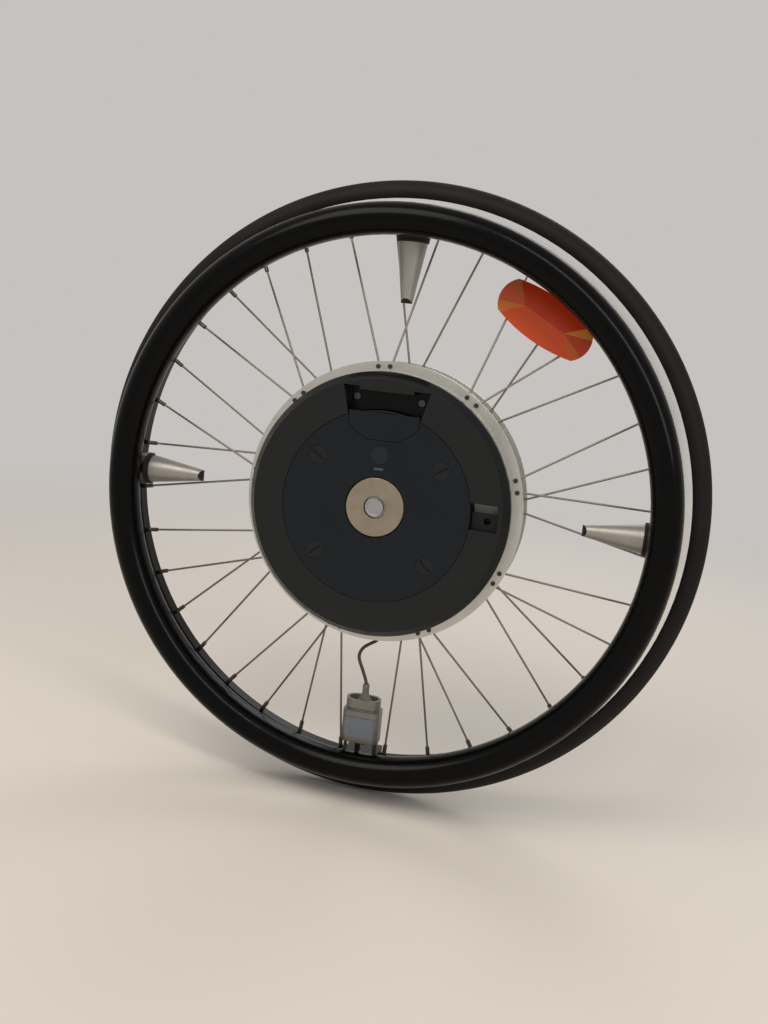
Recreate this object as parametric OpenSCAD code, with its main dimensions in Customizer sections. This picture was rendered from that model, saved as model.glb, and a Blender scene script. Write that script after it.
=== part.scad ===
// Power-assist drive wheel for a wheelchair: hub motor, slide-in battery pack and sensing push rim.
// Millimetres. The axle runs along Y, the chair is on the +Y side and Z is up.
// Every piece is drawn with x to the right, y up and z outwards from the chair, then turned onto the axle.

/* [Tyre and rim] */
// Outer diameter of the tyre
tyre_od = 590; // [570:1:620]
// Width of the tyre
tyre_w = 25; // [23:0.5:28]
// Height of the tyre above the rim's lips
tyre_h = 17.5; // [15:0.5:20]
// Width of the rim over its lips
rim_w = 24; // [22:0.5:27]
// Height of the rim from spoke bed to lips
rim_h = 19.5; // [17:0.5:24]
// Wall of the rim
rim_wall = 3; // [2.4:0.1:3.4]
// Distance from the axle seat to the middle of the tyre
wheel_out = 42; // [40:0.5:45]

/* [Push rim] */
// Distance from the tyre's outside to the middle of the push rim's tube
push_rim_inset = 40; // [36:0.5:44]
// Thickness of the tube, measured along the radius
push_rim_t = 28; // [24:0.5:30]
// Width of the tube, measured along the axle
push_rim_w = 31; // [30:0.5:34]
// Wall of the tube
push_rim_wall = 2; // [1.5:0.1:3]
// Distance from the middle of the tyre to the middle of the tube
push_rim_offset = 46; // [44:0.5:50]

/* [Spokes] */
// Number of spoke pairs on each flange
spoke_pairs = 9; // [6:1:9]
// Half the angle between the two holes of a pair
pair_half_angle = 2.5; // [2:0.1:3]
// Radius of a spoke
spoke_r = 1; // [0.8:0.05:1.2]
// Radius of a nipple
nipple_r = 2; // [1.8:0.1:2.4]
// Length of a nipple inside the rim
nipple_len = 11; // [8:0.5:14]

/* [Hub] */
// Radius of the hub's drum
hub_r = 121.5; // [118:0.5:126]
// Wall of the drum
hub_wall = 7; // [6:0.5:8]
// Height of the spoke flanges above the drum
flange_h = 9.5; // [8:0.5:12]
// Thickness of a spoke flange
flange_t = 4; // [3:0.5:5]
// Distance from the middle of the tyre to the front face of the front flange
front_flange_offset = 33.5; // [30:0.5:36]
// Distance from the middle of the tyre back to the front face of the rear flange
rear_flange_offset = 2; // [1.5:0.5:4]
// Wall of the rear housing
housing_wall = 3.5; // [3:0.1:4.5]
// Number of ribs on the rear housing
rib_count = 24; // [12:1:36]

/* [Cover and lid] */
// Distance from the drum's outside in to the round seam between the cover ring and the lid
seam_inset = 34; // [33:0.5:35]
// Thickness of the lid and of the cover ring's face
lid_t = 3; // [2.6:0.1:4]
// Depth of the cover ring's visible side
cover_h = 16; // [14:0.5:20]
// Radius of the centre disc as a share of the seam's radius
disc_share = 0.313; // [0.28:0.001:0.32]
// Depth of the finger recess
recess_depth = 16; // [12:0.5:18]
// Depth of the charging pocket
pocket_depth = 10; // [8:0.5:12]
// Radius of the charging socket's bore
socket_r = 3.25; // [2.5:0.05:3.6]

/* [Battery] */
// Length of a battery cell
cell_len = 43; // [40:0.5:46]
// Radius of the round head of a lid lock
lock_r = 8.3; // [7:0.1:9.2]
// Radius of the power button
button_r = 8; // [6:0.1:8.6]
// Travel of the power button
button_travel = 1; // [0.6:0.1:1.2]

/* [Motor] */
// Length of the stator core along the axle
core_t = 20; // [16:0.5:22]
// Number of stator teeth
tooth_count = 18; // [12:3:18]
// Number of magnets
magnet_count = 20; // [14:2:24]
// Air gap between magnets and teeth
air_gap = 0.8; // [0.5:0.1:1.2]

/* [Axle] */
// Radius of the quick-release axle
axle_r = 6.35; // [5.5:0.05:6.5]
// Length of the axle that sits in the chair's receiver
axle_grip = 50; // [40:1:70]
// Radius of a torque stud
stud_r = 4; // [3:0.1:5]
// Radius of the circle of torque studs
stud_circle_r = 32; // [28:0.5:34]
// Number of torque studs
stud_count = 4; // [3:1:6]
// Travel of the release button
release_travel = 5; // [4:0.5:5.5]

/* [Brackets and sensor] */
// Length of a spring housing along the radius
bracket_len = 59; // [50:1:64]
// Half the width of a spring housing at its base
bracket_base_half = 14.5; // [13:0.5:16]
// Half the width of a spring housing at its tip
bracket_tip_half = 5.3; // [5:0.1:6.5]
// Width of the sensor housing
sensor_w = 36; // [32:1:40]
// Depth of the sensor housing along the axle
sensor_d = 24; // [20:0.5:26]
// Height of the sensor housing along the radius
sensor_h = 31; // [28:1:36]
// Diameter of the sensor cable
cable_d = 3.2; // [2.4:0.1:3.6]

/* [Reflector] */
// Length of the spoke reflector
reflector_len = 94; // [80:1:100]
// Width of the spoke reflector
reflector_w = 43; // [36:1:50]
// Height of the reflector's ridge above its edge
reflector_ridge = 4; // [2:0.5:6]

/* [Hidden] */
$fn = 64;

// Overrun of every cut
overrun = 1;
// Gap between fixed pieces that lie close together
fit_gap = 0.15;
// Radial clearance of a running fit
run_gap = 0.05;
// Clearance between pieces that move past each other
move_gap = 0.3;
// Seam between the lid and what lies round it
seam_gap = 0.5;

// Radii of the wheel
tyre_r = tyre_od / 2;
rim_lip_r = tyre_r - tyre_h;
rim_bed_r = rim_lip_r - rim_h;
rim_shoulder = 6;
rim_shoulder_r = rim_bed_r + rim_shoulder;
rim_bed_w_share = 0.5;
rim_bed_w = rim_w * rim_bed_w_share;
tyre_seat_r = rim_shoulder_r + rim_wall / 2 + fit_gap;
push_rim_r = tyre_r - push_rim_inset;
push_rim_in_r = push_rim_r - push_rim_t / 2;
push_rim_out = wheel_out + push_rim_offset;

// Stations along the axle, from the seat outwards
torque_plate_t = 6;
torque_plate_r = 42;
plate_gap = 1.5;
coil_gap = 1.5;
coil_head = 5.5;
bulkhead_gap = 0.5;
bulkhead_t = 3;
tray_gap = 1;
tray_wall = 1.5;
lid_space = 6.5;
rear_out = torque_plate_t + plate_gap;
rear_in_out = rear_out + housing_wall;
core_out = rear_in_out + coil_gap + coil_head;
core_end_out = core_out + core_t;
bulkhead_out = core_end_out + coil_head + bulkhead_gap;
deck_out = bulkhead_out + bulkhead_t;
tray_out = deck_out + tray_gap;
cells_out = tray_out + tray_wall;
cells_end_out = cells_out + cell_len;
lid_out = cells_end_out + lid_space;
face_out = lid_out + lid_t;
cover_edge_out = face_out - cover_h;
front_flange_out = wheel_out + front_flange_offset;
rear_flange_out = wheel_out - rear_flange_offset;
drum_tail = 6;
drum_out = rear_flange_out - flange_t - drum_tail;

// Hub radii
hub_in_r = hub_r - hub_wall;
seam_r = hub_r - seam_inset;
disc_r = seam_r * disc_share;
spoke_circle_r = hub_r + flange_h / 2;
ledge_w = 6;
ledge_t = 4;

// Bearings, 20 by 42 by 12
bearing_in_r = 10;
bearing_out_r = 21;
bearing_w = 12;
bearing_wall = 3.2;
bearing_ball_r = 3.1;
bearing_ball_count = 9;
bearing_ball_gap = 0.1;
bearing_mid_r = (bearing_in_r + bearing_out_r) / 2;
boss_r = 26;
rear_bearing_out = rear_in_out;
front_bearing_out = bulkhead_out - bearing_w;
seal_r = 16;

// Central tube that carries the centre disc
tube_in_r = 12;
tube_r = 15;
disc_t = 4;
disc_bore_r = 10;
disc_edge = 1;
disc_bore_edge = 0.4;
disc_out = face_out - disc_t;

// Quick-release axle
axle_bore_r = 3;
axle_step = 0.35;
axle_core_r = axle_r - axle_step;
rod_r = axle_bore_r - run_gap;
groove_w = 2;
groove_depth = 0.5;
nose_step = 0.15;
nose_r = axle_r - nose_step;
nose_len = 12;
nose_chamfer = 1;
head_r = disc_bore_r - move_gap;
head_floor = 3;
head_inset = 2.2;
head_wall = 1.5;
release_r = head_r - head_wall;
release_t = 6;
release_proud = 1.5;
release_room = 2.7;
head_len = head_floor + release_room + release_travel + release_t - release_proud - head_inset;
head_out = face_out - head_inset - head_len;
release_dish = 0.6;
lock_ball_r = 2.5;
lock_ball_inset = 5;
lock_ball_stick = 0.75;
lock_ball_centre = axle_r + lock_ball_stick - lock_ball_r;
lock_ball_out = -axle_grip - groove_w - lock_ball_inset;
ramp_r = lock_ball_centre - lock_ball_r - run_gap;
ramp_slope_share = 0.19;
ramp_spare = 1;
ramp_len = release_travel + ramp_spare;
neck_r = ramp_r - ramp_slope_share * ramp_len;
neck_len = 3;
rod_tip = 2;
spring_wire_r = 0.6;
spring_turns = 3;
spring_r = 5.2;
spring_sides = 6;
spring_steps = 12;

// Spindle and torque plate
spindle_r = bearing_in_r;
spindle_end_out = deck_out;
stud_start_angle = 45;
stud_len = 10;
stud_step = 0.35;
stud_chamfer = 1;

// Motor
stator_r = hub_in_r - fit_gap;
yoke_share = 0.1152;
yoke_w = hub_r * yoke_share;
carrier_ring_t = 5;
magnet_t = 6;
magnet_share = 0.8;
magnet_place_share = 0.6926;
magnet_r = stator_r * magnet_place_share;
tooth_r = magnet_r + air_gap;
tooth_w = 9;
coil_w = 5;
coil_inset = 3;
coil_end_gap = 3.35;
coil_len = stator_r - yoke_w - tooth_r - coil_inset - coil_end_gap;
carrier_web_t = 4;
carrier_boss_r = 16;
carrier_boss_t = 7;
carrier_hole_r = 10;
carrier_hole_count = 6;
carrier_hole_share = 0.3621;
carrier_hole_circle_r = hub_r * carrier_hole_share;
carrier_mid_out = core_out + core_t / 2;

// Cover ring
cover_step = 0.4;
cover_r = hub_r + cover_step;
cover_ridge = 6.5;
cover_ridge_r = cover_r - cover_ridge;
cover_skirt_t = 2.5;
cover_spigot_t = 3;
cover_spigot_h = 6;
cover_round = 9;
recess_half_share = 0.3292;
recess_top_half = hub_r * recess_half_share;
recess_corner_gap = 0.27;
recess_corner_r = hub_in_r - recess_corner_gap;
recess_top = sqrt(recess_corner_r * recess_corner_r - recess_top_half * recess_top_half);
recess_step = 3;
recess_mid_top = recess_top - recess_step;
recess_tab_share = 0.1235;
recess_tab_w = hub_r * recess_tab_share;
recess_bottom_share = 0.2716;
recess_bottom_half = hub_r * recess_bottom_share;
recess_lap = 7.5;
recess_bottom = seam_r - recess_lap;
recess_wall = 2.5;
recess_screw_share = 0.2469;
recess_screw_x = hub_r * recess_screw_share;
recess_screw_drop = 10;
recess_screw_y = recess_top - recess_screw_drop;
screw_r = 1.5;
screw_head_r = 3;
screw_head_t = 2;
screw_slot_w = 0.9;
screw_slot_depth = 1;
screw_grip = 8;
post_r = 4;
pocket_end_gap = 3.4;
pocket_end = cover_ridge_r - pocket_end_gap;
pocket_top = 17;
pocket_floor_top = 7.5;
pocket_bottom = 8;
pocket_floor_bottom = 6.5;
pocket_wall = 2.5;
socket_from_seam = 14;
socket_x = seam_r + socket_from_seam;
socket_body_r = 6;
socket_flange_r = 8;
socket_flange_t = 3;
socket_len = 11;
socket_floor = 4;

// Battery pack
tray_bore_gap = 0.8;
tray_rim_gap = 1.7;
tray_in_r = disc_r + tray_bore_gap;
tray_r = seam_r - tray_rim_gap;
gasket_w = 2.2;
gasket_out = lid_out - gasket_w;
inner_cells = 8;
outer_cells = 12;
cell_bore_gap = 0.6;
cell_mid_gap = 7.1;
cell_rim_gap = 2.1;
cell_gaps = cell_bore_gap + cell_mid_gap + cell_rim_gap;
cell_r = (tray_r - tray_in_r - 2 * tray_wall - cell_gaps) / 4;
inner_cells_r = tray_in_r + tray_wall + cell_bore_gap + cell_r;
outer_cells_r = tray_r - tray_wall - cell_rim_gap - cell_r;
link_t = 0.3;
link_w = 8;
lid_skirt_t = 1.5;
lid_skirt_h = 5;
tray_top_out = lid_out - lid_skirt_h;
contact_count = 4;
contact_pitch = 8;
contact_r = 2;
contact_t = 0.6;
contact_y = -(inner_cells_r + outer_cells_r) / 2;
contact_block_w = 36;
contact_block_h = 12;
contact_pin_r = 1.5;
contact_lift = 0.1;

// Lid details
lock_circle_share = 0.8;
lock_circle_r = seam_r * lock_circle_share;
lock_upper_angle = 35.5;
lock_lower_angle = -42;
lock_head_t = 2;
lock_shank_r = 3.5;
lock_slot_w = 2;
lock_slot_depth = 1.2;
lock_cam_w = 5;
lock_cam_len = 14;
lock_cam_t = 1.5;
button_share = 0.5429;
button_y = seam_r * button_share;
button_flange = 1.2;
button_flange_t = 1;
button_proud = 0.3;
switch_w = 6;
light_share = 0.4;
light_y = seam_r * light_share;
light_w = 9;
light_h = 2.4;
light_t = 2.5;

// Handle flap
handle_half_share = 0.3703;
handle_half = seam_r * handle_half_share;
handle_arc_share = 0.4869;
handle_arc_r = seam_r * handle_arc_share;
handle_arc_y_share = 1.1657;
handle_arc_y = seam_r * handle_arc_y_share;
handle_top_share = 0.9714;
handle_top = seam_r * handle_top_share;
handle_low_share = 0.696;
handle_low = seam_r * handle_low_share;
handle_t = 2.8;
handle_axis_rise = 0.6;
handle_axis_y = handle_low + handle_axis_rise;
handle_axis_drop = 0.8;
handle_axis_out = face_out - handle_axis_drop;
handle_pin_r = 0.5;
handle_pin_share = 0.4343;
handle_pin_len = seam_r * handle_pin_share;
handle_notch_share = 0.1817;
handle_notch_half = seam_r * handle_notch_share;
handle_notch_h = 2;
pan_t = 1.5;
pan_wall = 1.5;
pan_depth = 3.4;
pan_out = lid_out - pan_depth;

// Control board
board_skirt_gap = 2;
board_spigot_gap = 1.35;
board_in_r = seam_r + cover_skirt_t + board_skirt_gap;
board_r = hub_in_r - fit_gap - cover_spigot_t - board_spigot_gap;
board_t = 1.6;
board_lift = 6;
board_start_angle = 195;
board_sweep_angle = 150;
chip_w = 9;
chip_d = 12;
chip_t = 3;
chip_count = 6;
cap_r = 5;
cap_h = 14;
cap_count = 4;
standoff_r = 2.5;
standoff_count = 4;

// Rear housing
housing_edge = 8.5;
housing_lip = 0.3;
rib_w = 3;
rib_h = 2;
rib_in_share = 0.3951;
rib_in_r = hub_r * rib_in_share;
rib_end_gap = 5;
rear_screw_count = 9;
rear_screw_r = 2;
rear_screw_head_r = 3.4;
rear_screw_head_t = 2.5;
rear_screw_len = 20;

// Spokes
pair_angle = 95;
rear_pair_turn = -10;
rim_half_angle = 10;
spoke_head_r = 2.1;
spoke_head_t = 1.2;
elbow_swell = 0.1;
spoke_hole_gap = 0.25;
nipple_gap = 0.15;
nipple_head_r = 3;
nipple_head_t = 1.5;
nipple_head_lift = 1.2;
elbow_out = front_flange_out - flange_t - spoke_r - spoke_hole_gap;
rear_elbow_out = rear_flange_out + spoke_r + spoke_hole_gap;

// Spring housings
bracket_angles = [0, 90, 180];
sensor_angle = 270;
bracket_wall = 2;
bracket_slant = 4;
bracket_lip = 1;
bracket_base_gap = 2;
bracket_base_r = push_rim_in_r + bracket_base_gap;
bracket_tip_r = bracket_base_r - bracket_len;
bracket_lift = 19;
bracket_out = wheel_out + bracket_lift;
foot_half = 12;
foot_t = 5;
foot_tail = 6;
foot_r = rim_bed_r - fit_gap;
foot_screw_r = 2;
foot_screw_head_r = 3.5;
foot_screw_head_t = 1.8;

// Push rim arms
arm_half = 2.5;
arm_lift = 0.5;
arm_t = 3.5;
arm_reach = 15;
arm_foot_r = 6.2;
arm_foot_inset = 2;
arm_bolt_r = 2.5;
arm_bolt_head_r = 4;
arm_bolt_head_t = 2;
arm_bolt_grip = 6;
arm_out = bracket_out + bracket_wall + arm_lift;
leaf_t = 0.8;
leaf_w = 2;
leaf_gap = 0.3;
leaf_tail = 8;

// Sensor
sensor_turn = 0.9;
sensor_round = 7;
sensor_wall = 2;
sensor_drop = 1;
sensor_end_gap = 9;
sensor_out = bracket_out - sensor_drop;
sensor_end_r = push_rim_in_r - sensor_end_gap;
sensor_top_r = sensor_end_r - sensor_h;
sensor_mid_out = sensor_out + sensor_d / 2;
collar_w = 33.5;
collar_d = 20;
collar_h = 11;
collar_wall = 2.6;
collar_groove_h = 2.4;
collar_groove_depth = 1.2;
window_w = 29;
window_h = 20;
window_sink = 1.2;
window_proud = 0.4;
gland_r = 4.5;
gland_tip_r = 2.7;
gland_h = 25;
sensor_board_w = 24;
sensor_board_h = 16;
sensor_board_gap = 0.3;
sensor_chip_w = 8;
sensor_chip_t = 2;

// Legs of the sensor housing, which straddle the push rim's arm
leg_left = 11.7;
leg_left_w = 2.5;
leg_right = 15;
leg_right_w = 4;
leg_lift = 3.5;
leg_d = 6;
leg_root = 2;
leg_step = 1;

// Route of the sensor cable, as sideways place, share of the way from the drum to the gland's tip,
// and share of the height between the hole in the drum and the gland
cable_gland_x = 0.9;
cable_hub_gap = 1.5;
cable_hub_r = hub_in_r - cable_hub_gap;
cable_tip_r = sensor_top_r - gland_h;
cable_hole_out = 62;
cable_x = 11;
cable_bends = [
    [-0.4, 0.833, 0.97], [-4.8, 0.692, 0.9], [-6.7, 0.611, 0.83], [-6.3, 0.537, 0.74], [-3.9, 0.463, 0.6],
    [0.7, 0.406, 0.4], [6.4, 0.349, 0.15], [10, 0.278, 0.03], [cable_x, 0.175, 0], [cable_x, 0, 0]
];
cable_in_gland = [14, 6, 0];
cable_route = concat(
    [for (depth = cable_in_gland) gland_point(cable_tip_r + depth)],
    [for (b = cable_bends) cable_bend(b[0], b[1], b[2])]
);
cable_sides = 8;

// Reflector
reflector_inset = 36.9;
reflector_r = rim_bed_r - reflector_inset;
reflector_angle = 55.3;
reflector_turn = 5.7;
reflector_bow_r = 150;
reflector_hip = 26;
reflector_end_t = 1;
reflector_lift = 11;
reflector_out = wheel_out + reflector_lift;
reflector_t = 2;
reflector_back_t = 2;
reflector_clip_r = 2.6;
reflector_clip_len = 8;

// Shared helpers

// Puts a piece drawn with z outwards onto the axle
module on_axle() {
    rotate([90, 0, 0]) children();
}

// Moves a piece out along the axle
module out(distance) {
    translate([0, 0, distance]) children();
}

// Repeats a piece evenly round the axle
module around(count, start = 0) {
    for (i = [0 : count - 1]) rotate([0, 0, start + i * 360 / count]) children();
}

// A flat ring
module ring(radius, bore, height) {
    difference() {
        cylinder(h = height, r = radius);
        translate([0, 0, -overrun]) cylinder(h = height + 2 * overrun, r = bore);
    }
}

// A round bar between two points
module bar(from, to, radius) {
    d = to - from;
    len = norm(d);
    translate(from) rotate([0, acos(d[2] / len), atan2(d[1], d[0])]) cylinder(h = len, r = radius);
}

// A box centred in x, standing on its y and z
module slab(width, height, depth) {
    translate([-width / 2, 0, 0]) cube([width, height, depth]);
}

// A flat shape with round ends, taller than wide
module stadium(width, height) {
    run = (height - width) / 2;
    translate([0, run]) circle(d = width);
    translate([0, -run]) circle(d = width);
    square([width, 2 * run], center = true);
}

// A rectangle with round corners
module round_rect(width, height, round) {
    square([width - 2 * round, height], center = true);
    square([width, height - 2 * round], center = true);
    for (x = [-1, 1], y = [-1, 1])
        translate([x * (width / 2 - round), y * (height / 2 - round)]) circle(r = round);
}

// A bar along y with the given cross-section, which is drawn with z upwards
module along_radius(from, to) {
    translate([0, from, 0]) rotate([-90, 0, 0]) linear_extrude(height = to - from) mirror([0, 1]) children();
}

// A ring of points about one point of a path
function tube_ring(p, side, up, radius, sides) =
    [for (i = [0 : sides - 1]) p + radius * (cos(i * 360 / sides) * side + sin(i * 360 / sides) * up)];
function unit(v) = v / norm(v);
function path_dir(path, i) = unit(path[min(i + 1, len(path) - 1)] - path[max(i - 1, 0)]);

// A round tube swept along a list of points
module tube(path, radius, sides, guide) {
    n = len(path);
    rings = [for (i = [0 : n - 1])
        let (t = path_dir(path, i), side = unit(cross(guide, t)), up = cross(t, side))
        each tube_ring(path[i], side, up, radius, sides)];
    walls = [for (i = [0 : n - 2], j = [0 : sides - 1])
        let (k = (j + 1) % sides, a = i * sides, b = (i + 1) * sides)
        each [[a + j, b + j, b + k], [a + j, b + k, a + k]]];
    first = [for (j = [1 : sides - 2]) [0, j, j + 1]];
    last = [for (j = [1 : sides - 2]) [(n - 1) * sides, (n - 1) * sides + j + 1, (n - 1) * sides + j]];
    polyhedron(points = rings, faces = concat(walls, first, last));
}

// Points of the sensor cable: on the gland's own axis, and between the drum and the gland's tip
function gland_point(radius) = [
    cable_gland_x * cos(sensor_turn) + radius * sin(sensor_turn),
    cable_gland_x * sin(sensor_turn) - radius * cos(sensor_turn), sensor_mid_out
];
function cable_bend(x, share, lift) = [
    x, -cable_hub_r - share * (cable_tip_r - cable_hub_r),
    cable_hole_out + lift * (sensor_mid_out - cable_hole_out)
];

// Spoke geometry
function polar(radius, angle, distance) = [radius * cos(angle), radius * sin(angle), distance];
function front_hub_angle(k, side) = pair_angle + k * 360 / spoke_pairs + side * pair_half_angle;
function front_rim_angle(k, side) = pair_angle + k * 360 / spoke_pairs + side * rim_half_angle;
function rear_hub_angle(k, side) = front_hub_angle(k, side) + rear_pair_turn;
function rear_rim_angle(k, side) = front_rim_angle(k, side) + rear_pair_turn;
function front_hub_point(k, side) = polar(spoke_circle_r, front_hub_angle(k, side), elbow_out);
function rear_hub_point(k, side) = polar(spoke_circle_r, rear_hub_angle(k, side), rear_elbow_out);
function front_rim_point(k, side) = polar(rim_bed_r, front_rim_angle(k, side), wheel_out);
function rear_rim_point(k, side) = polar(rim_bed_r, rear_rim_angle(k, side), wheel_out);

// One spoke: head, bend and straight shank
module spoke(hub, rim, head_from, head_to) {
    shank_end = rim + unit(rim - hub) * rim_wall / 2;
    bar([hub[0], hub[1], head_from], hub, spoke_r);
    bar([hub[0], hub[1], head_from], [hub[0], hub[1], head_to], spoke_head_r);
    translate(hub) sphere(r = spoke_r + elbow_swell);
    bar(hub, shank_end, spoke_r);
}

// One nipple on the rim end of a spoke
module nipple(hub, rim) {
    d = unit(rim - hub);
    seat = rim + d * (rim_wall + nipple_head_lift);
    top = seat + d * nipple_head_t;
    difference() {
        union() {
            bar(rim - d * nipple_len, top, nipple_r);
            bar(seat, top, nipple_head_r);
        }
        bar(rim - d * (nipple_len + overrun), rim + d * rim_wall / 2, spoke_r + run_gap);
    }
}

// Runs its children at every spoke, giving each its two ends
module front_spokes() {
    for (k = [0 : spoke_pairs - 1], side = [-1, 1])
        spoke(front_hub_point(k, side), front_rim_point(k, side), front_flange_out,
            front_flange_out + spoke_head_t);
}
module rear_spokes() {
    for (k = [0 : spoke_pairs - 1], side = [-1, 1])
        spoke(rear_hub_point(k, side), rear_rim_point(k, side), rear_flange_out - flange_t,
            rear_flange_out - flange_t - spoke_head_t);
}

// Axle unit, which the chair holds still

module quick_release_axle() color("silver") on_axle() difference() {
    union() {
        out(-axle_grip) cylinder(h = axle_grip, r = axle_r);
        out(-axle_grip) cylinder(h = axle_grip + head_out, r = axle_core_r);
        out(-axle_grip - groove_w) cylinder(h = groove_w, r = axle_r - groove_depth);
        out(-axle_grip - groove_w - nose_len + nose_chamfer)
            cylinder(h = nose_len - nose_chamfer, r = nose_r);
        out(-axle_grip - groove_w - nose_len)
            cylinder(h = nose_chamfer, r1 = nose_r - nose_chamfer, r2 = nose_r);
        out(head_out) cylinder(h = head_len, r = head_r);
    }
    out(-axle_grip - groove_w - nose_len - overrun)
        cylinder(h = axle_grip + groove_w + nose_len + head_out + head_len, r = axle_bore_r);
    out(head_out + head_floor) cylinder(h = head_len, r = release_r + run_gap);
    out(lock_ball_out) rotate([0, 90, 0]) cylinder(h = 2 * axle_r, r = lock_ball_r + run_gap, center = true);
}

module hub_spindle() color("dimgray") on_axle() ring(spindle_r, axle_core_r + run_gap, spindle_end_out);

module torque_plate() color("gray") on_axle() difference() {
    ring(torque_plate_r, spindle_r + run_gap, torque_plate_t);
    around(stud_count, stud_start_angle) translate([stud_circle_r, 0, -overrun])
        cylinder(h = torque_plate_t + 2 * overrun, r = stud_r - stud_step + run_gap);
}

module torque_studs() color("silver") on_axle()
    around(stud_count, stud_start_angle) translate([stud_circle_r, 0, 0]) {
        out(-stud_len + stud_chamfer) cylinder(h = stud_len - stud_chamfer, r = stud_r);
        out(-stud_chamfer) cylinder(h = stud_chamfer + torque_plate_t, r = stud_r - stud_step);
        out(-stud_len) cylinder(h = stud_chamfer, r1 = stud_r - stud_chamfer, r2 = stud_r);
    }

module magnet_carrier() color("slategray") on_axle() {
    carrier_r = magnet_r - magnet_t - run_gap;
    out(carrier_mid_out) difference() {
        union() {
            out(-core_t / 2) ring(carrier_r, carrier_r - carrier_ring_t, core_t);
            out(-carrier_web_t / 2) cylinder(h = carrier_web_t, r = carrier_r - carrier_ring_t / 2);
            out(-carrier_boss_t / 2) cylinder(h = carrier_boss_t, r = carrier_boss_r);
        }
        out(-carrier_boss_t) cylinder(h = 2 * carrier_boss_t, r = spindle_r + run_gap);
        around(carrier_hole_count) translate([carrier_hole_circle_r, 0, -carrier_web_t])
            cylinder(h = 2 * carrier_web_t, r = carrier_hole_r);
    }
}

module rotor_magnets() color("darkgray") on_axle() out(core_out) {
    pitch = 360 / magnet_count;
    for (i = [0 : magnet_count - 1]) rotate([0, 0, i * pitch])
        rotate_extrude(angle = pitch * magnet_share)
            translate([magnet_r - magnet_t, 0]) square([magnet_t, core_t]);
}

// Ball track of a bearing
module ball_track() {
    rotate_extrude() translate([bearing_mid_r, bearing_w / 2]) circle(r = bearing_ball_r + bearing_ball_gap);
}

module bearing_inner_rings() color("lightgray") on_axle() for (z = [rear_bearing_out, front_bearing_out])
    out(z) difference() {
        ring(bearing_in_r + bearing_wall + run_gap, bearing_in_r + run_gap, bearing_w);
        ball_track();
    }

module bearing_balls() color("white") on_axle() for (z = [rear_bearing_out, front_bearing_out])
    out(z + bearing_w / 2) around(bearing_ball_count)
        translate([bearing_mid_r, 0, 0]) sphere(r = bearing_ball_r);

module bearing_outer_rings() color("lightgray") on_axle() for (z = [rear_bearing_out, front_bearing_out])
    out(z) difference() {
        ring(bearing_out_r - run_gap, bearing_out_r - bearing_wall - run_gap, bearing_w);
        ball_track();
    }

// Hub, which turns with the wheel

module rear_seal() color("black") on_axle() out(rear_out)
    ring(seal_r - run_gap, spindle_r + move_gap, housing_wall - fit_gap);

module hub_ring() color("silver") on_axle() difference() {
    rotate_extrude() {
        translate([hub_in_r, drum_out]) square([hub_wall, cover_edge_out - drum_out]);
        translate([hub_r - hub_wall / 2, front_flange_out - flange_t])
            square([flange_h + hub_wall / 2, flange_t]);
        translate([hub_r - hub_wall / 2, rear_flange_out - flange_t])
            square([flange_h + hub_wall / 2, flange_t]);
        translate([hub_in_r - ledge_w, bulkhead_out - ledge_t]) square([ledge_w + hub_wall / 2, ledge_t]);
    }
    for (k = [0 : spoke_pairs - 1], side = [-1, 1]) {
        translate(polar(spoke_circle_r, front_hub_angle(k, side), front_flange_out - flange_t - overrun))
            cylinder(h = flange_t + 2 * overrun, r = spoke_r + spoke_hole_gap);
        translate(polar(spoke_circle_r, rear_hub_angle(k, side), rear_flange_out - flange_t - overrun))
            cylinder(h = flange_t + 2 * overrun, r = spoke_r + spoke_hole_gap);
    }
    translate([cable_x, -hub_in_r + hub_wall, cable_hole_out]) rotate([90, 0, 0])
        cylinder(h = 2 * hub_wall + flange_h, r = cable_d / 2 + move_gap);
    around(rear_screw_count) translate([hub_r - hub_wall / 2, 0, drum_out - overrun])
        cylinder(h = rear_screw_len, r = rear_screw_r + run_gap);
}

module rear_housing() color("#2a2c2f") on_axle() difference() {
    union() {
        rotate_extrude() polygon([
            [seal_r, rear_out], [hub_r - housing_edge, rear_out], [hub_r, rear_out + housing_edge],
            [hub_r, drum_out], [hub_in_r + housing_lip, drum_out],
            [hub_in_r + housing_lip, rear_in_out + housing_edge / 2],
            [hub_in_r + housing_lip - housing_edge / 2, rear_in_out], [boss_r, rear_in_out],
            [boss_r, rear_bearing_out + bearing_w], [bearing_out_r, rear_bearing_out + bearing_w],
            [bearing_out_r, rear_in_out], [seal_r, rear_in_out]
        ]);
        around(rib_count) translate([rib_in_r, -rib_w / 2, rear_out - rib_h])
            cube([hub_r - housing_edge - rib_end_gap - rib_in_r, rib_w, rib_h + housing_wall / 2]);
    }
    around(rear_screw_count) translate([hub_r - hub_wall / 2, 0, 0]) {
        cylinder(h = drum_out + overrun, r = rear_screw_r + run_gap);
        cylinder(h = rear_out + housing_edge + rear_screw_head_t, r = rear_screw_head_r + fit_gap);
    }
}

module rear_screws() color("dimgray") on_axle() around(rear_screw_count)
    translate([hub_r - hub_wall / 2, 0, rear_out + housing_edge]) difference() {
        union() {
            cylinder(h = rear_screw_head_t, r = rear_screw_head_r);
            cylinder(h = drum_out - rear_out - housing_edge + rear_screw_len / 2, r = rear_screw_r);
        }
        out(-overrun) cylinder(h = rear_screw_head_t / 2 + overrun, r = rear_screw_r, $fn = 6);
    }

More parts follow.
